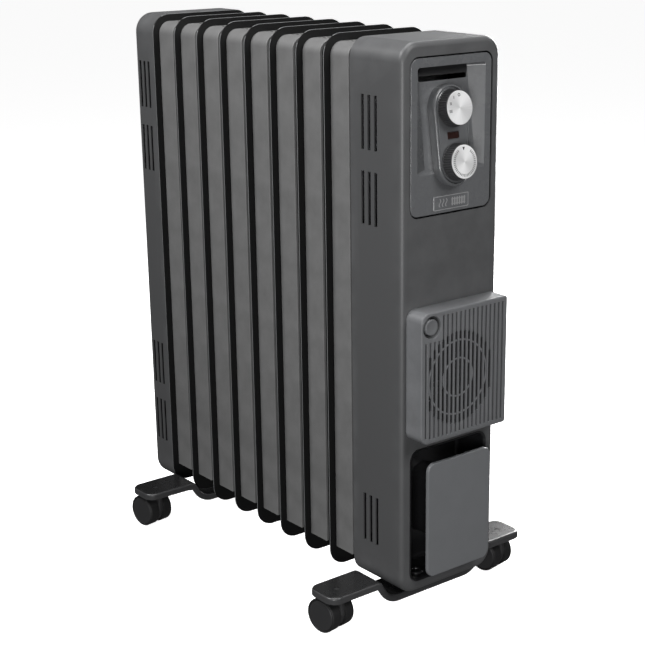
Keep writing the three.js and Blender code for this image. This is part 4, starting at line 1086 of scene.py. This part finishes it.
class RADIATOR_OT_fan_button(PieceOperator):
    """Builds the push button with its dished face."""

    bl_idname = "radiator.fan_button"
    bl_label = "Fan button"

    def build(self):
        top = span("fan_button")[1].x
        r = FAN["button"]
        profile = ((r - 1.5, -7.5), (r, -7.0), (r, -1.4), (r - 0.3, -0.6), (r - 0.9, -0.15), (r - 1.6, 0.0),
                   (r - 2.1, -0.1), (r - 3.2, -0.55), (r - 5, -0.9), (1.2, -1.05))
        shape = Shape()
        shape.turn(profile, sides=64)
        shape.turn(((3, -14.0), (3, -7.2)), sides=24)
        at = Matrix.Translation(Vector((top, FAN["button_y"], BUTTON_Z)) * MM)
        show("fan_push_button", shape.mesh("fan_push_button"), finish("fan"), "fan_button",
             ["fan_button"], at)


# ------------------------------------------------------------------ cord store
class RADIATOR_OT_cord_store(PieceOperator):
    """Builds the cord tray, the cleat in front of it and the cord gland."""

    bl_idname = "radiator.cord_store"
    bl_label = "Cord store"

    def build(self):
        w, h, corner = TRAY["width"], TRAY["height"], TRAY["corner"]
        back = FRONT - TRAY["depth"]
        shape = Shape()
        outline = insets(w, h, corner, 0, TRAY_MID)
        profile = ((0.1, FRONT - 0.05), (0.5, FRONT - 0.1), (1.4, FRONT - 0.7), (2.0, FRONT - 2.0),
                   (2.4, back + 6.0), (3.4, back + 3.0), (5.2, back + 1.0), (8.5, back))
        shape.loft([(outline(inset), x) for inset, x in profile], start=False)
        mesh = worked(shape.mesh("cord_tray_liner"), -1.2)
        show("cord_tray_liner", mesh, finish("tray"), stands_for=["cord_tray"])

        low, high = span("cord_cleat")
        mid = (low.z + high.z) / 2
        width, height = high.y - low.y, high.z - low.z
        cleat = Shape()
        under = high.x - CLEAT["thickness"]
        cleat.plate(insets(width, height, CLEAT["corner"], 0, mid), under, high.x, 1.1, arc=5)
        show("cord_cleat_plate", cleat.mesh("cord_cleat_plate"), finish("cleat"),
             stands_for=["cord_cleat"])
        pw, ph = CLEAT["post"]
        post = Shape()
        outline = insets(pw, ph, pw / 2, 0, mid, 16)
        profile = ((-2.5, low.x), (-1.0, low.x + 0.8), (0, low.x + 3), (0, under - 3), (-1.0, under - 0.8),
                   (-2.5, under + 0.1))
        post.loft([(outline(inset), x) for inset, x in profile])
        show("cord_cleat_post", post.mesh("cord_cleat_post"), finish("tray"))

        low, high = span("cord_gland")
        mid = (low + high) / 2
        gland = Shape("z")
        gland.turn(((8.0, -3.0), (8.0, -0.8), (7.6, -0.2), (7.0, 0.0), (5.2, 0.0), (4.4, -0.3), (3.9, -1.2),
                    (3.6, -2.5), (3.6, -8.5), (5.7, -8.5), (5.7, -3.0)), mid.x, mid.y, high.z,
                   start=False, end=False)
        show("cord_gland_ring", gland.mesh("cord_gland_ring"), finish("tray"),
             stands_for=["cord_gland"])


# ------------------------------------------------------------------ stand
def foot_line():
    """Straight and bent stretches of half a foot's top line from its middle, as (length, bend radius)."""
    low, high, slope = FOOT["low_bend"], FOOT["high_bend"], FOOT["slope"]
    ramp = (FOOT["drop"] - (low + high) * (1 - math.cos(slope))) / math.sin(slope)
    run = (low + high) * math.sin(slope) + ramp * math.cos(slope)
    return [(FOOT["start"] - run, 0.0), (low * slope, low), (ramp, 0.0), (high * slope, -high)]


def foot_place(along):
    """Place (y, z) and tilt of the foot's top line at a way along it from the middle of the saddle."""
    y, z, tilt = 0.0, 0.0, 0.0
    for length, radius in foot_line() + [(math.inf, 0.0)]:
        part = min(along, length)
        if radius:
            turned = tilt + part / radius
            y += radius * (math.sin(turned) - math.sin(tilt))
            z += radius * (math.cos(tilt) - math.cos(turned))
            tilt = turned
        else:
            y += part * math.cos(tilt)
            z += part * math.sin(tilt)
        along -= part
    return y, z, tilt


class RADIATOR_OT_feet(PieceOperator):
    """Builds the two foot bars, bowed down under the body, with a pad under it."""

    bl_idname = "radiator.feet"
    bl_label = "Feet"

    def build(self):
        for node, nut, bolt in (("front_foot", "front_wing_nut", "front_clamp_bolt"),
                                ("rear_foot", "rear_wing_nut", "rear_clamp_bolt")):
            low, high = span(node)
            centre = (low.x + high.x) / 2
            end_top = span("castor_front_left_hood")[1].z + STEM["clear"]
            saddle = end_top - FOOT["drop"]
            bent = sum(stretch for stretch, _ in foot_line())
            width, length = high.x - low.x, high.y - low.y + 2 * (bent - FOOT["start"])
            shape = Shape("z")
            sheet, fillet, thick = FOOT["sheet"], FOOT["fillet"], FOOT["thickness"]
            outline = insets(width, length, FOOT["corner"], centre, 0, 8)
            sections = [(outline(sheet + fillet), -sheet), (outline(sheet + 0.8), -sheet - 0.8),
                        (outline(sheet), -sheet - fillet), (outline(sheet), -thick),
                        (outline(sheet - 0.6), -thick), (outline(0.3), -thick + 0.1),
                        (outline(0), -thick + 0.6)]
            shape.loft(sections + [(outline(inset), -depth) for inset, depth in quarter(fillet, 5)])
            flat = foot_line()[0][0] - 1
            for i in range(27):
                for side in (-1, 1):
                    y = side * (flat + i / 26 * (bent + 2 - flat))
                    geometry = shape.bm.verts[:] + shape.bm.edges[:] + shape.bm.faces[:]
                    bmesh.ops.bisect_plane(shape.bm, geom=geometry, plane_co=(0, y * MM, 0),
                                           plane_no=(0, 1, 0))
            for v in shape.bm.verts:
                y, z, tilt = foot_place(abs(v.co.y) / MM)
                depth = v.co.z / MM
                v.co.y = math.copysign(y - depth * math.sin(tilt), v.co.y) * MM
                v.co.z = (saddle + z + depth * math.cos(tilt)) * MM
            cutter = Shape("z")
            stem = centre + STEM["shift"]
            for side in (-1, 1):
                hole = circle(sizes().foot_hole / MM, stem, side * STEM["y"], 32)
                cutter.slab(hole, end_top - 5, end_top + 5)
            # Side rims and the upright faces near the castor ends take the lighter second finish: a painted
            # highlight.
            shape.bm.normal_update()
            for face in shape.bm.faces:
                if abs(face.normal.x) > 0.6 or (face.calc_center_median().z > (end_top - 6) * MM
                                                and abs(face.normal.z) < 0.8):
                    face.material_index = 1
            mesh = worked(shape.mesh(node), 0.0, cutter, 1)
            show(f"{node}_bar", mesh, (finish("foot"), finish("foot_rim_highlight")), stands_for=[node])
            pad = Shape("z")
            pad.plate(insets(*FOOT["pad"], 4, centre, 0, 4), saddle - 0.5, high.z, 0.8)
            show(f"{node}_pad", pad.mesh("pad"), finish("tread"))
            boss = Shape("z")
            for side in (-1, 1):
                boss.turn(((9.0, -1.5), (9.0, -7.0), (8.4, -7.5), (6.0, -7.5), (5.3, -7.0), (5.3, -1.5)),
                          stem, side * STEM["y"], end_top, 40)
            show(f"{node}_bosses", boss.mesh("bosses"), finish("foot"))
            keep(nut, finish("steel"))
            keep(bolt, finish("steel"))


class RADIATOR_OT_castors(PieceOperator):
    """Builds the twin-wheel castors: hood, stem and two wheels each."""

    bl_idname = "radiator.castors"
    bl_label = "Castors"

    WHEEL = ((3.0, 0.0), (14.0, 0.0), (14.6, 0.5), (15.2, 1.4), (16.6, 1.4), (17.2, 0.6), (17.9, 0.0),
             (18.6, 0.2), (19.0, 0.9), (19.0, 11.1), (18.8, 11.8), (18.3, 12.3), (17.6, 12.4), (17.1, 12.3),
             (16.9, 11.9), (16.7, 11.5), (16.4, 11.9), (16.0, 12.2), (12.0, 12.3), (6.0, 12.35), (1.0, 12.38))
    RADIUS = 19.0

    def wheel(self):
        shape = Shape("y")
        shape.turn(self.WHEEL, sides=72)
        for face in shape.bm.faces:
            centre = face.calc_center_median() / MM
            if math.hypot(centre.x, centre.z) > 16.2:
                face.material_index = 1
        return shape.mesh("castor_wheel")

    def hood(self, axle_x, top):
        shape = Shape("y")
        shape.plate(lambda d: circle(16.5 - d, self.RADIUS, axle_x, 64), -3.2, 3.2, 0.8)
        shape.turn(((4.0, -14.4), (4.0, 14.4)), self.RADIUS, axle_x, sides=32)
        neck = Shape("z")
        neck.plate(insets(18, 6.4, 2.0, steps=4), self.RADIUS, 38.6, 0.4)
        neck.turn(((9.0, 38.35), (10.6, 38.5), (11.0, 38.8), (11.0, 39.3), (10.6, 39.6), (5.0, 39.6)))
        neck.turn(((5.0, 39.0), (5.0, top - 1.2), (4.6, top - 0.6), (3.6, top - 0.2), (1.0, top)), sides=32)
        shape.merge(neck)
        return shape.mesh("castor_hood")

    def build(self):
        wheel, hood = self.wheel(), None
        for end, side in CASTORS:
            name = f"castor_{end}_{side}"
            joints = {j["child"]: j for j in frame["joints"] if j["child"].startswith(name)}
            stem = Vector(joints[f"{name}_hood"]["pos_m"])
            roll = joints[f"{name}_wheel_b"]
            axle = (Vector(roll["pos_m"]) + Vector(joints[f"{name}_wheel_a"]["pos_m"])) / 2
            trail = -(axle - stem).to_2d().length
            if hood is None:
                hood = self.hood(trail / MM, span(f"{name}_hood")[1].z)
            yaw = math.atan2(-roll["axis"][0], roll["axis"][1])
            at = Matrix.Translation((stem.x, stem.y, 0)) @ Matrix.Rotation(yaw, 4, "Z")
            show(f"{name}_body", hood, finish("castor"), f"{name}_hood",
                 [f"{name}_hood"], at)
            for letter, sign in (("a", -1), ("b", 1)):
                node = f"{name}_wheel_{letter}"
                turn = Matrix.Identity(4) if sign > 0 else Matrix.Rotation(math.pi, 4, "Z")
                hub = at @ Matrix.Translation((trail, sign * 3.5 * MM, axle.z)) @ turn
                show(f"{name}_disc_{letter}", wheel, (finish("castor"), finish("tread")),
                     node, [node], hub)


class RADIATOR_OT_inner_parts(PieceOperator):
    """Finishes the parts inside the control housing."""

    bl_idname = "radiator.inner_parts"
    bl_label = "Inner parts"

    def build(self):
        for node in ("selector_switch", "tilt_switch"):
            keep(node, finish("dark"))
        for node in ("thermostat", "thermal_cutout"):
            keep(node, finish("steel"))


# ------------------------------------------------------------------ stage
def lamp(name, place, aim, size, power):
    data = bpy.data.lights.new(name, "AREA")
    data.shape = "RECTANGLE"
    data.size, data.size_y = size
    data.energy = power
    made = bpy.data.objects.new(name, data)
    bpy.context.scene.collection.objects.link(made)
    made.location = place
    made.rotation_mode = "QUATERNION"
    made.rotation_quaternion = (Vector(aim) - Vector(place)).to_track_quat("-Z", "Y")


class RADIATOR_OT_stage(PieceOperator):
    """Sets the pale floor, the studio lights and the camera."""

    bl_idname = "radiator.stage"
    bl_label = "Stage"

    def floor(self):
        mesh = bpy.data.meshes.new("floor")
        grid = bmesh.new()
        bmesh.ops.create_grid(grid, x_segments=12, y_segments=12, size=30.0)
        grid.to_mesh(mesh)
        grid.free()
        made = linked("studio_floor", mesh)
        made.location.z = -0.0005
        mesh.materials.append(finish("floor"))
        made.visible_diffuse = False
        made.visible_glossy = False

    def sky(self):
        world = bpy.data.worlds.new("studio")
        world.use_nodes = True
        nodes, links = world.node_tree.nodes, world.node_tree.links
        place = nodes.new("ShaderNodeTexCoord")
        split = nodes.new("ShaderNodeSeparateXYZ")
        ramp = nodes.new("ShaderNodeValToRGB")
        half = nodes.new("ShaderNodeMapRange")
        half.inputs["From Min"].default_value = -1.0
        links.new(place.outputs["Generated"], split.inputs[0])
        links.new(split.outputs["Z"], half.inputs["Value"])
        links.new(half.outputs[0], ramp.inputs[0])
        while len(ramp.color_ramp.elements) < len(SKY_STOPS):
            ramp.color_ramp.elements.new(1.0)
        for element, (position, value) in zip(ramp.color_ramp.elements, SKY_STOPS):
            element.position = position
            element.color = (value, value, value, 1)
        back = nodes["Background"]
        back.inputs["Strength"].default_value = bpy.context.scene.radiator_stage.sky
        links.new(ramp.outputs[0], back.inputs["Color"])
        bpy.context.scene.world = world

    def camera(self):
        data = bpy.data.cameras.new("view")
        data.lens = CAMERA["lens"]
        data.sensor_width = CAMERA["sensor"]
        data.shift_x, data.shift_y = CAMERA["shift"]
        data.clip_end = CAMERA["reach"]
        made = bpy.data.objects.new("view", data)
        bpy.context.scene.collection.objects.link(made)
        yaw, pitch, roll = math.radians(CAMERA["yaw"]), math.radians(CAMERA["pitch"]), CAMERA["roll"]
        level = math.cos(pitch)
        ahead = Vector((-math.sin(yaw) * level, math.cos(yaw) * level, -math.sin(pitch)))
        right = Vector((math.cos(yaw), math.sin(yaw), 0))
        up = right.cross(ahead)
        tilt_right = math.cos(roll) * right + math.sin(roll) * up
        tilt_up = math.cos(roll) * up - math.sin(roll) * right
        turn = Matrix((tilt_right, tilt_up, -ahead)).transposed().to_4x4()
        made.matrix_world = Matrix.Translation(CAMERA["place"]) @ turn
        bpy.context.scene.camera = made

    def build(self):
        settings = bpy.context.scene.radiator_stage
        self.floor()
        self.sky()
        for name, (place, aim, size) in LIGHTS.items():
            lamp(f"{name}_light", place, aim, size, getattr(settings, name))
        self.camera()
        bpy.context.scene.view_settings.view_transform = "Standard"
        bpy.context.scene.view_settings.look = "None"


def light_setting(name, description, value):
    return bpy.props.FloatProperty(name=name, description=description, default=value, min=0.0)


class RadiatorStage(bpy.types.PropertyGroup):
    sky: light_setting("Sky", "Strength of the light from all round", 0.12)
    side: light_setting("Side light", "Watts of the high light on the long side", 18.5)
    edge: light_setting("Edge light", "Watts of the low light on the near edges", 12.5)
    end: light_setting("End light", "Watts of the light on the control end", 10.5)
    top: light_setting("Top light", "Watts of the light overhead", 12.6)
    rim: light_setting("Rim light", "Watts of the light behind the far edges", 52.0)


OPERATORS = (
    RADIATOR_OT_rear_cover, RADIATOR_OT_housing, RADIATOR_OT_fins, RADIATOR_OT_wraps, RADIATOR_OT_headers,
    RADIATOR_OT_panel, RADIATOR_OT_pod, RADIATOR_OT_knobs, RADIATOR_OT_badge, RADIATOR_OT_fan_cover,
    RADIATOR_OT_fan_button, RADIATOR_OT_cord_store, RADIATOR_OT_feet, RADIATOR_OT_castors,
    RADIATOR_OT_inner_parts, RADIATOR_OT_stage,
)


class RADIATOR_PT_pieces(bpy.types.Panel):
    """Lists the settings and the pieces."""

    bl_idname = "RADIATOR_PT_pieces"
    bl_label = "Radiator"
    bl_space_type = "VIEW_3D"
    bl_region_type = "UI"
    bl_category = "Radiator"

    def draw(self, context):
        scene = context.scene
        for group in (scene.radiator_colours, scene.radiator_sizes, scene.radiator_stage):
            box = self.layout.box()
            for key in group.__annotations__:
                box.prop(group, key)
        for operator in OPERATORS:
            self.layout.operator(operator.bl_idname)


GROUPS = (
    ("radiator_colours", RadiatorColours),
    ("radiator_sizes", RadiatorSizes),
    ("radiator_stage", RadiatorStage),
)
CLASSES = tuple(group for _, group in GROUPS) + OPERATORS + (RADIATOR_PT_pieces,)


def register():
    for item in CLASSES:
        bpy.utils.register_class(item)
    for key, group in GROUPS:
        setattr(bpy.types.Scene, key, bpy.props.PointerProperty(type=group))


def unregister():
    for key, _ in GROUPS:
        delattr(bpy.types.Scene, key)
    for item in reversed(CLASSES):
        bpy.utils.unregister_class(item)


def main():
    for item in list(bpy.data.objects):
        if item.name in ("Cube", "Light", "Camera") and "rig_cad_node" not in item:
            bpy.data.objects.remove(item)
    register()
    for operator in OPERATORS:
        group, call = operator.bl_idname.split(".")
        if getattr(getattr(bpy.ops, group), call)() != {"FINISHED"}:
            raise RuntimeError(f"{operator.bl_label} was not built")


if __name__ == "__main__":
    main()
